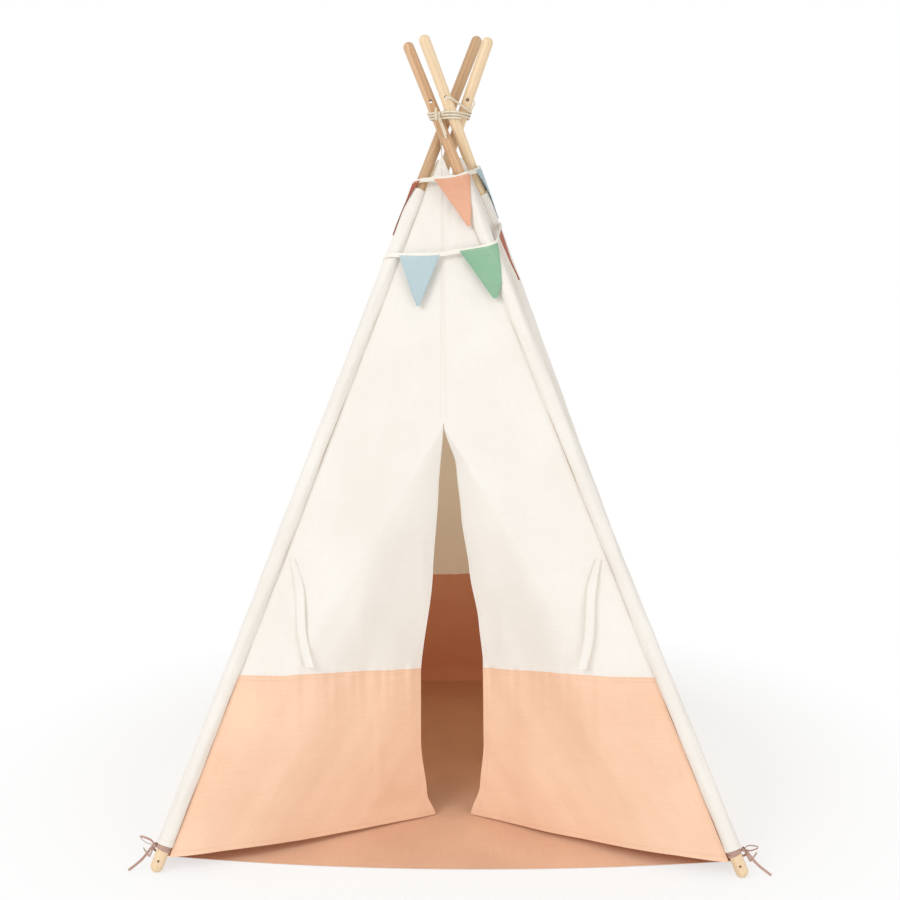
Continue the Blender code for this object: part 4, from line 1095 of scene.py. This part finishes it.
# Front: a fixed panel from each sleeve to the centre seam, then the two door flaps below the slit. Each
# flap is one with its panel and hangs to its own hem, cream above and peach below.
SLIT_HEIGHT, DOOR_FOOT, DOOR_HEM, DOOR_SINK = 0.812, 0.026, 0.0046, 0.062
DOOR_GAP = {"left": 0.054, "right": 0.076}
SLIT_START, DOOR_SEAM_DROP, CREASE_SHARE, FLAP_SAG = 0.0012, 0.030, 0.22, 0.0065
EDGE_SHARES = {"left": ((0.0, 0.0), (0.16, 0.22), (0.38, 0.47), (0.63, 0.98), (0.82, 1.0), (0.95, 0.78),
                        (1.0, 0.47)),
               "right": ((0.0, 0.0), (0.10, 0.33), (0.23, 0.455), (0.37, 0.66), (0.50, 0.895), (0.60, 1.0),
                         (0.82, 1.0), (0.93, 0.885), (1.0, 0.62))}
CREASE_SEAM = (SLIT_HEIGHT - BAND_HEIGHT) / (SLIT_HEIGHT - DOOR_FOOT)
EDGE_SEAM = (SLIT_HEIGHT - BAND_HEIGHT + DOOR_SEAM_DROP) / (SLIT_HEIGHT - DOOR_HEM)
slit_top = middle_of("front_left", "front_right", SLIT_HEIGHT)


def eased(share):
    """A share from 0 to 1 that starts and stops softly."""
    return share * share * (3 - 2 * share)


def edge_pull(side, drop):
    """How far a flap's inner edge is pulled aside, at shares of its height below the slit's top."""
    table = np.array(EDGE_SHARES[side])
    after = np.clip(np.searchsorted(table[:, 0], drop), 1, len(table) - 1)
    low, high = table[after - 1], table[after]
    share = np.clip((drop - low[:, 0]) / (high[:, 0] - low[:, 0]), 0, 1)
    return mix(low[:, 1], high[:, 1], mix(share, eased(share), 0.5))


def front_normal(corner, other):
    """The way that one half of the front faces."""
    seam, middle = seam_of(corner, other, 0.5), middle_of(corner, other, 0.5)
    normal = unit(np.cross(middle - seam, up_pole(corner)))
    return normal if normal[1] < 0 else -normal


def crease_line(corner, other, drop):
    """The crease that a flap turns on, from the slit's top to the foot of its pole."""
    foot = seam_of(corner, other, DOOR_FOOT)
    return mix(slit_top, foot, np.asarray(drop)[:, None])


def tension(side, x, height):
    """Relief shared by the whole front: broad soft folds, and the pull below the tie-back."""
    dice = random.Random("front " + side)
    total = np.zeros(np.broadcast(x, height).shape)
    for _ in range(7):
        total += broad_fold(dice, x, height, (0.10, 0.30), 0.35, 1.1, (0.2, 0.45))
    total *= 0.0019
    for _ in range(9):
        foot, lean, narrow = dice.uniform(0.03, 0.46), dice.uniform(-0.25, 0.25), dice.uniform(0.008, 0.016)
        middle, spread = dice.uniform(0.12, 0.62), dice.uniform(0.05, 0.12)
        total += (dice.choice((-1, 1)) * dice.uniform(0.7, 1.5) * 0.0011
                  * bell(np.abs(x) - foot - lean * (height - middle), 0, narrow)
                  * bell(height, middle, spread))
    for at, narrow, tall in ((0.009, 0.0045, -0.0022), (0.020, 0.006, 0.0014), (0.034, 0.008, -0.0016)):
        fan = at * (1 + 2.2 * np.clip((1.30 - height) / 0.2, 0, 2))
        total += tall * bell(np.abs(x - 0.017), fan, narrow * 1.6) * bell(height, 1.24, 0.085)
    return total


def panel_point(corner, other, a, height):
    """The fixed panel: a is 0 at the sleeve and 1 at the crease or the centre seam."""
    side = corner.split("_")[1]
    seam = seam_of(corner, other, height)
    drop = np.clip((SLIT_HEIGHT - height) / (SLIT_HEIGHT - DOOR_FOOT), 0, 1)
    limit = np.where((height < SLIT_HEIGHT)[:, None], crease_line(corner, other, drop),
                     middle_of(corner, other, height))
    point = mix(seam, limit, a[:, None])
    from_sleeve = np.linalg.norm(point - seam, axis=1)
    to_limit = np.linalg.norm(point - limit, axis=1)
    calm = calm_near(from_sleeve, 0.03) * mix(calm_near(to_limit, 0.035), calm_near(to_limit, 0.02, 0.6),
                                              np.clip((height - SLIT_HEIGHT) / 0.15, 0, 1))
    lift = tension(side, point[:, 0], height) * calm
    lift = lift + puckers(side, point[:, 0], BAND_HEIGHT - height) * calm
    return point + front_normal(corner, other) * lift[:, None]


def puckers(side, x, below):
    """Small gathers that hang from the band's seam."""
    waves = ripples(random.Random("puckers " + side), x,
                    ((0.0165, 0.4), (0.024, 0.7), (0.037, 1.0), (0.061, 1.1)))
    return 0.00125 * waves * np.where(below > 0, np.exp(-below / 0.045), np.exp(below / 0.009))


# Folds of a flap: place across it, lean, width and height.
FLAP_FOLDS = {"left": ((0.34, 0.10, 0.052, 0.0055), (0.58, -0.05, 0.040, -0.0045),
                       (0.80, 0.02, 0.045, 0.0040), (0.16, 0.16, 0.035, -0.0035)),
              "right": ((0.30, 0.02, 0.050, 0.0050), (0.55, 0.06, 0.060, -0.0040),
                        (0.74, -0.02, 0.040, 0.0042), (0.88, -0.10, 0.030, -0.0030))}


def flap_point(corner, other, a, q):
    """A door flap: a runs from the crease to the free edge, q is 0 at the slit, 1 at the band seam and 2
    at the hem."""
    side = corner.split("_")[1]
    sign = CORNERS[corner][0]
    crease_drop = np.where(q < 1, q * CREASE_SEAM, mix(CREASE_SEAM, 1.0, q - 1))
    edge_drop = np.where(q < 1, q * EDGE_SEAM, mix(EDGE_SEAM, 1.0, q - 1))
    crease = crease_line(corner, other, crease_drop)
    pull = DOOR_GAP[side] * edge_pull(side, edge_drop)
    edge = slit_top + np.stack([sign * (SLIT_START / 2 + pull), -DOOR_SINK * edge_drop,
                                (DOOR_HEM - SLIT_HEIGHT) * edge_drop], -1)
    span = edge - crease
    width = np.linalg.norm(span, axis=1)
    normal = front_normal(corner, other)
    along = span - np.outer(span @ normal, normal)
    whole_bend = math.sqrt(1 + CREASE_SHARE ** 2) - CREASE_SHARE
    bent = (np.sqrt(a ** 2 + CREASE_SHARE ** 2) - CREASE_SHARE) / whole_bend
    point = crease + along * a[:, None] + np.outer(bent * (span @ normal), normal)
    height = point[:, 2]
    calm = calm_near(a * width, 0.035)
    lift = tension(side, point[:, 0], height) * calm
    lift += puckers(side, point[:, 0], BAND_HEIGHT - DOOR_SEAM_DROP * a - height) * calm
    grow = np.clip(edge_drop * 1.4, 0, 1) ** 1.3
    for middle, lean, narrow, tall in FLAP_FOLDS[side]:
        lift += (tall * bell(a * width, (middle + lean * (edge_drop - 0.6)) * width, narrow) * grow * calm
                 * np.cos(math.pi / 2 * np.clip(edge_drop, 0, 1) ** 5))
    wave = np.sin(2 * math.pi * (a * width) / 0.115 + sign) + 0.6 * np.sin(2 * math.pi * a * width / 0.061)
    lift += 0.0016 * wave * calm * np.clip(edge_drop - 0.45, 0, 1) * (1 - np.clip(q - 1.75, 0, 0.25) * 2.4)
    sag = FLAP_SAG * np.sin(math.pi * np.clip(a, 0, 1)) * np.clip(q - 1, 0, 1) ** 2
    return point + np.outer(lift, normal) * np.array((1.0, 1.0, 0.35)) - np.outer(sag, (0, 0, 1.0))


for corner, other in (WALLS["front"], WALLS["front"][::-1]):
    side = corner.split("_")[1]

    def high_panel(a, r, corner=corner, other=other):
        return panel_point(corner, other, a, mix(BAND_HEIGHT, top_height(a), r))

    def low_panel(a, r, corner=corner, other=other):
        return panel_point(corner, other, a, mix(DOOR_FOOT + 0.001, BAND_HEIGHT, r))

    def high_flap(a, r, corner=corner, other=other):
        return flap_point(corner, other, a, mix(0.003, 1.0, 1 - r))

    def low_flap(a, r, corner=corner, other=other):
        return flap_point(corner, other, a, mix(1.0, 2.0, 1 - r))
    down, over = even(320), even(140)
    slit_row = (SLIT_HEIGHT - BAND_HEIGHT) / (WALL_TOP - BAND_HEIGHT)
    above_slit = slit_row + (1 - slit_row) * even(220) * 0.985
    panel = lay_cloth("front_cloth_" + side, with_lines(78, 0.016, 0.032, 0.97),
                      with_lines(130, 0.989, 0.9897), high_panel,
                      OUTWARD["front"], cream_cotton, thread=cream_thread,
                      proud=lambda a, r: 0.0004 * (r > 0.9893) + 0.0004 * ((a > 0.965) & (r > 0.47)),
                      stitches=[(1, 0.016, down), (1, 0.972, above_slit), (1, over, 0.991)])
    low = lay_cloth("front_band_" + side, with_lines(30, 0.05), with_lines(52, 0.965), low_panel,
                    OUTWARD["front"], peach_cotton, thread=peach_thread,
                    proud=lambda a, r: np.where(r > 0.966, 0.00055, 0.00015),
                    stitches=[(1, 0.05, down), (1, over, 0.972), (1, over, 0.992)])
    flap = lay_cloth("flap_cloth_" + side, with_lines(76, 0.955, 0.957), even(74), high_flap,
                     OUTWARD["front"], cream_cotton, thread=cream_thread,
                     proud=lambda a, r: np.where(a > 0.956, 0.0004, 0.0),
                     stitches=[(face, 0.964, 0.02 + down * 0.98) for face in (1, -1)])
    band = lay_cloth("flap_band_" + side, with_lines(96, 0.964, 0.966),
                     with_lines(64, 0.034, 0.036, 0.967, 0.969), low_flap,
                     OUTWARD["front"], peach_cotton, thread=peach_thread,
                     proud=lambda a, r: np.where((a > 0.965) | (r < 0.035) | (r > 0.968), 0.00055, 0.00015),
                     stitches=[(1, 0.971, down * 0.99), (1, over, 0.974), (1, over, 0.993), (1, over, 0.028),
                               (-1, over, 0.974), (-1, over, 0.028)])
    gather(panel, corner, other, "cover_cotton", "front_panel_" + side)
    gather(low, corner, other, "band_cotton")
    gather(flap, corner, other, "cover_cotton", "door_flap_" + side, "door_" + side)
    gather(band, corner, other, "band_cotton", "door_band_" + side, "door_" + side)

# Tie-backs: a cream cotton ribbon sewn into the front seam of each front sleeve, hanging loose over the
# flap that it ties back.
RIBBON_WIDTH, RIBBON_HEIGHT, RIBBON_DROP, RIBBON_DRIFT = 0.018, 0.556, 0.200, 0.118
RIBBON_LENGTH, RIBBON_THICK, RIBBON_STAND = 0.245, 0.0009, 0.0060
for corner, other in (WALLS["front"], WALLS["front"][::-1]):
    side = corner.split("_")[1]
    normal = front_normal(corner, other)

    def ribbon(a, r, corner=corner, other=other, normal=normal):
        drop = 1 - r
        height = mix(RIBBON_HEIGHT, RIBBON_HEIGHT - RIBBON_DROP, drop)
        seam = seam_of(corner, other, height)
        inward = unit(middle_of(corner, other, height) - seam)
        stand = CLOTH * 1.3 + RIBBON_STAND * np.sin(math.pi / 2 * drop)
        curl = 0.0012 * np.sin(math.pi * a) * np.sin(math.pi * drop * 1.5) + 0.0010 * np.sin(9 * drop + 3 * a)
        sway = RIBBON_WIDTH * 0.25 * np.sin(2 * math.pi * drop)
        narrow = mix(0.55, 1.0, np.clip(drop * 4, 0, 1))
        reach = RIBBON_WIDTH * ((a - 0.5) * narrow + 0.9) + RIBBON_DRIFT * drop + sway
        return seam + inward * reach[:, None] + normal * (stand + curl)[:, None]
    piece = lay_cloth("tie_back_" + side, with_lines(12, 0.1, 0.9), with_lines(70, 0.05), ribbon,
                      OUTWARD["front"], cream_cotton, thick=RIBBON_THICK, thread=cream_thread,
                      proud=lambda a, r: np.where((a < 0.11) | (a > 0.89) | (r < 0.055), 0.00025, 0.0),
                      stitches=[(1, edge, even(60)) for edge in (0.06, 0.94)])
    gather(piece, corner, other, "cover_cotton", "tieback_" + side)

# Mat: two layers of peach cotton with a thin wadding, turned and stitched round the edge. It lies flat on
# the floor between the four feet and folds across its middle.
MAT_SPREAD_SHARE, MAT_BACK_BOW, MAT_CLOTH, MAT_EDGE, EDGE_STITCH = 1.017, 0.018, 0.0028, 0.012, 0.62
EDGE_MARK_SHARES = (0.06, 0.16, 0.3, 0.5, EDGE_STITCH, 0.75, 1.0)
mat_cotton = cotton("mat_cotton", (0.735, 0.430, 0.280), (0.860, 0.525, 0.355), threads=1300.0, slub=1.3,
                    bump=0.38)


def mat_swell(x, y):
    """Soft unevenness of the wadding and of the floor's cloth."""
    dice = random.Random("mat")
    total = np.zeros(np.broadcast(x, y).shape)
    for _ in range(8):
        turn, long, phase = dice.uniform(0, 3.14), dice.uniform(0.10, 0.36), dice.uniform(0, 6.28)
        along = x * math.cos(turn) + y * math.sin(turn)
        total += dice.uniform(0.4, 1.0) * np.sin(2 * math.pi * along / long + phase)
    return total * 0.00022


for half, sign in (("front", -1), ("back", 1)):
    def lie(a, r, sign=sign):
        x = mix(-MAT_HALF, MAT_HALF, a) * MAT_SPREAD_SHARE
        edge = MAT_CORNER + MAT_BOW * (1 - (x / MAT_HALF) ** 2)
        edge += (MAT_BACK_BOW if sign > 0 else 0.0) * (1 - (x / MAT_HALF) ** 6)
        y = sign * edge * r
        rim = np.minimum(MAT_HALF - np.abs(x), edge * (1 - r))
        return on_mat(x, y, MAT_THICK / 2 - 0.0003 + np.abs(mat_swell(x, y)) * np.clip(rim / 0.05, 0, 1))
    side_edge, end_edge = MAT_EDGE / (2 * MAT_HALF), MAT_EDGE / (MAT_CORNER + MAT_BOW / 2)

    def rim(a, r, s=side_edge, e=end_edge):
        near = np.minimum(np.minimum(a, 1 - a) / s, (1 - r) / e)
        edge = np.clip(near / 0.25, 0, 1)
        dip = bell(near, EDGE_STITCH, 0.10)
        return -0.00085 * (1 - np.sqrt(1 - (1 - edge) ** 2)) - 0.00035 * dip
    over, down = even(300), even(150)
    marks_a, marks_r = [[edge * mark for mark in EDGE_MARK_SHARES] for edge in (side_edge, end_edge)]
    in_side, in_end = EDGE_STITCH * side_edge, EDGE_STITCH * end_edge
    mat = lay_cloth("mat_cloth_" + half, with_lines(150, *marks_a, *[1 - m for m in marks_a]),
                    with_lines(72, *[1 - m for m in marks_r]), lie, (0, 0, 1), mat_cotton, thick=MAT_CLOTH,
                    proud=rim, thread=peach_thread,
                    stitches=[(1, over * (1 - 2 * in_side) + in_side, 1 - in_end),
                              (1, in_side, down * (1 - in_end)), (1, 1 - in_side, down * (1 - in_end))])
    belong(mat, "mat_%s_half" % half, "mat_" + half)
    tuple(on_mat(1.0, 0.0, 0.0))
    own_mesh(mat)

# Bunting: a cream cotton tape that climbs one and three quarter times round the cover, with nine cotton
# flags in soft colours sewn along it. Each stretch of tape and each flag goes with the nearest pole.
TAPE_WIDTH, TAPE_THICK, TAPE_LOW, TAPE_RISE = 0.009, 0.0012, CROSS_HEIGHT - 0.2965, 0.0385
TAPE_CLOTH, TAPE_FLAT = 0.0011, 0.010
CORNER_SHARE, TAPE_LEVEL, TAPE_END = 0.12, 5.55, 6.95
FLAG_WIDTH, FLAG_LENGTH, FLAG_GAP, FLAG_TUCK = 0.087, 0.100, 0.0009, 0.004
FLAG_TURN_IN, FLAG_CLOTH = 0.006, 0.0009
TAPE_SAG = ((0, 0), (0.5, 0.10), (1.0, -0.36), (1.5, -0.34), (2.5, 0), (4.0, 0), (4.5, 0.18), (5.5, -0.48),
            (6.5, 0.02), (7.0, 0.35))
TAPE_SPREAD = SLEEVE_RADIUS / math.cos(LEAN) + CLEAR + TAPE_THICK
FLAG_COLOURS = {"rust": ((0.36, 0.090, 0.045), (0.47, 0.140, 0.080)),
                "blue": ((0.40, 0.515, 0.560), (0.51, 0.630, 0.665)),
                "green": ((0.215, 0.410, 0.270), (0.305, 0.520, 0.355)),
                "pink": ((0.700, 0.350, 0.225), (0.810, 0.460, 0.315))}
FLAGS = ((0.14, 0.14, "rust"), (0.845, 0.88, "blue"), (1.325, 1.31, "green"), (2.06, 2.10, "rust"),
         (2.76, 2.76, "pink"), (3.42, 3.42, "blue"), (4.35, 4.36, "rust"), (5.31, 5.29, "pink"),
         (6.48, 6.48, "blue"))


def tape_height(travel):
    """The tape climbs evenly and then runs level, and sags between the poles."""
    spot = min(max(travel, 0.0), 7.0)
    sag = 0.0
    for (begin, low), (end, high) in zip(TAPE_SAG, TAPE_SAG[1:]):
        if begin <= spot <= end:
            sag = mix(low, high, eased((spot - begin) / (end - begin)))
    return TAPE_LOW + TAPE_RISE * (min(travel, TAPE_LEVEL) + sag)


def tape_at(travel, drop=0.0):
    """A point of the tape. Travel counts walls from the middle of the left wall, going to the front."""
    visit = math.floor(travel)
    local, reach = travel - visit, 0.5 - CORNER_SHARE

    def corner_of(number):
        return wrap_corner(number % 4, tape_height(number + 0.5) + drop, TAPE_SPREAD)
    here = corner_of(visit)
    if local < reach:
        before, meet = on_arc(corner_of(visit - 1), 1), on_arc(here, 0)
        point = mix(mix(before, meet, 0.5), meet, local / reach)
    elif local > 1 - reach:
        leave, after = on_arc(here, 1), on_arc(corner_of(visit + 1), 0)
        point = mix(leave, mix(leave, after, 0.5), (local - 1 + reach) / reach)
    else:
        point = on_arc(here, (local - reach) / (2 * CORNER_SHARE))
    return np.array((point[0], point[1], tape_height(travel) + drop))


def travel_by(start, distance):
    """Where one comes to from a spot on the tape, after a distance along it."""
    step, travel, left = math.copysign(0.0025, distance), start, abs(distance)
    here = tape_at(travel)
    while left > 0:
        there = tape_at(travel + step)
        left -= np.linalg.norm(there - here)
        travel, here = travel + step, there
    return travel


def goes_with(travel):
    """The pole and the wall that a spot on the tape goes with."""
    visit = math.floor(travel)
    corner = ROUND[visit % 4]
    return corner, ROUND[(visit + (1 if travel - visit >= 0.5 else -1)) % 4]


def out_from_middle(points):
    """The way out from the tent's middle line, a little upward."""
    return points * np.array((1.0, 1.0, 0.0)) + np.array((0, 0, 0.01))


tape_cotton = cotton("tape_cotton", (0.80, 0.76, 0.68), (0.92, 0.89, 0.82), threads=1900.0, bump=0.25)
stretch_names = {0: "low_left", 1: "low_front", 2: "low_right", 3: "back", 4: "high_left", 5: "high_front"}
breaks = [number / 2 for number in range(14)] + [TAPE_END]
for number, (begin, end) in enumerate(zip(breaks, breaks[1:]), 1):
    def run(a, r, begin=begin, end=end):
        travel = mix(begin, end, a)
        dip = 0.0012 * np.sin(travel * 9.0) + 0.0007 * np.sin(travel * 23.0)
        drop = mix(-TAPE_WIDTH / 2, TAPE_WIDTH / 2, r) + dip
        return np.array([tape_at(*spot) for spot in zip(travel, drop)])
    piece = lay_cloth("tape_%02d" % number, even(46), np.array((0, 0.08, 0.5, 0.92, 1.0)), run,
                      out_from_middle, tape_cotton, thick=TAPE_CLOTH, thread=cream_thread, steps=0.002,
                      stitches=[(1, even(90), 0.22)])
    corner, other = goes_with((begin + end) / 2)
    stretch = stretch_names.get(begin)
    gather(piece, corner, other, "cover_cotton", "bunting_tape_" + stretch if stretch else None)
    long = sum(np.linalg.norm(tape_at(mix(begin, end, s)) - tape_at(mix(begin, end, s + 0.02)))
               for s in np.arange(0, 1, 0.02))

flag_cottons, flag_threads = {}, {}
for number, (travel, tip_at, colour) in enumerate(FLAGS, 1):
    if colour not in flag_cottons:
        dark, light = FLAG_COLOURS[colour]
        flag_cottons[colour] = cotton("pennant_" + colour, dark, light, threads=1700.0)
        flag_threads[colour] = spun_material("thread_" + colour, tuple(c * 0.8 for c in dark),
                                             tuple(min(1, c * 1.1) for c in light), 900.0)
    spots = [travel_by(travel, FLAG_WIDTH * s) for s in (-0.5, 0.5)]

    def flag(a, r, spots=spots, tip_at=tip_at, number=number):
        down = 1 - r
        tip = np.clip((down - 0.95) / 0.05, 0, 1)
        narrow = mix(1.0, 0.115, np.minimum(down / 0.95, 1.0)) * np.sqrt(1 - (tip * 0.97) ** 2)
        room = CROSS_HEIGHT - tape_height(tip_at)
        spot = mix(tip_at, mix(spots[0], spots[1], a), narrow * room / (room + FLAG_LENGTH * down))
        wave = 0.0016 * np.sin(5.2 * a + 2.3 * down + number) + 0.0010 * np.sin(3.1 * down * 2 + number * 2)
        points = []
        for t, d, w in zip(spot, down, wave * down):
            point = tape_at(t, -TAPE_WIDTH / 2 + FLAG_TUCK - (FLAG_GAP + FLAG_LENGTH + FLAG_TUCK) * d)
            out = unit((point[0], point[1], 0))
            points.append(point + out * (0.0004 + w))
        return np.array(points)
    tip_rows = 0.95 + 0.05 * np.sin(np.linspace(0.15, math.pi / 2, 10))
    piece = lay_cloth("pennant_%d_%s" % (number, colour), with_lines(26, 0.07, 0.93),
                      1 - np.concatenate([np.linspace(0, 0.95, 32), tip_rows])[::-1], flag, out_from_middle,
                      flag_cottons[colour], thick=FLAG_CLOTH, thread=flag_threads[colour], steps=0.004,
                      stitches=[(1, edge, 0.10 + 0.90 * even(60)) for edge in (0.05, 0.95)])
    gather(piece, *goes_with(travel), "flag_" + colour, "flag_%d_%s" % (number, colour))
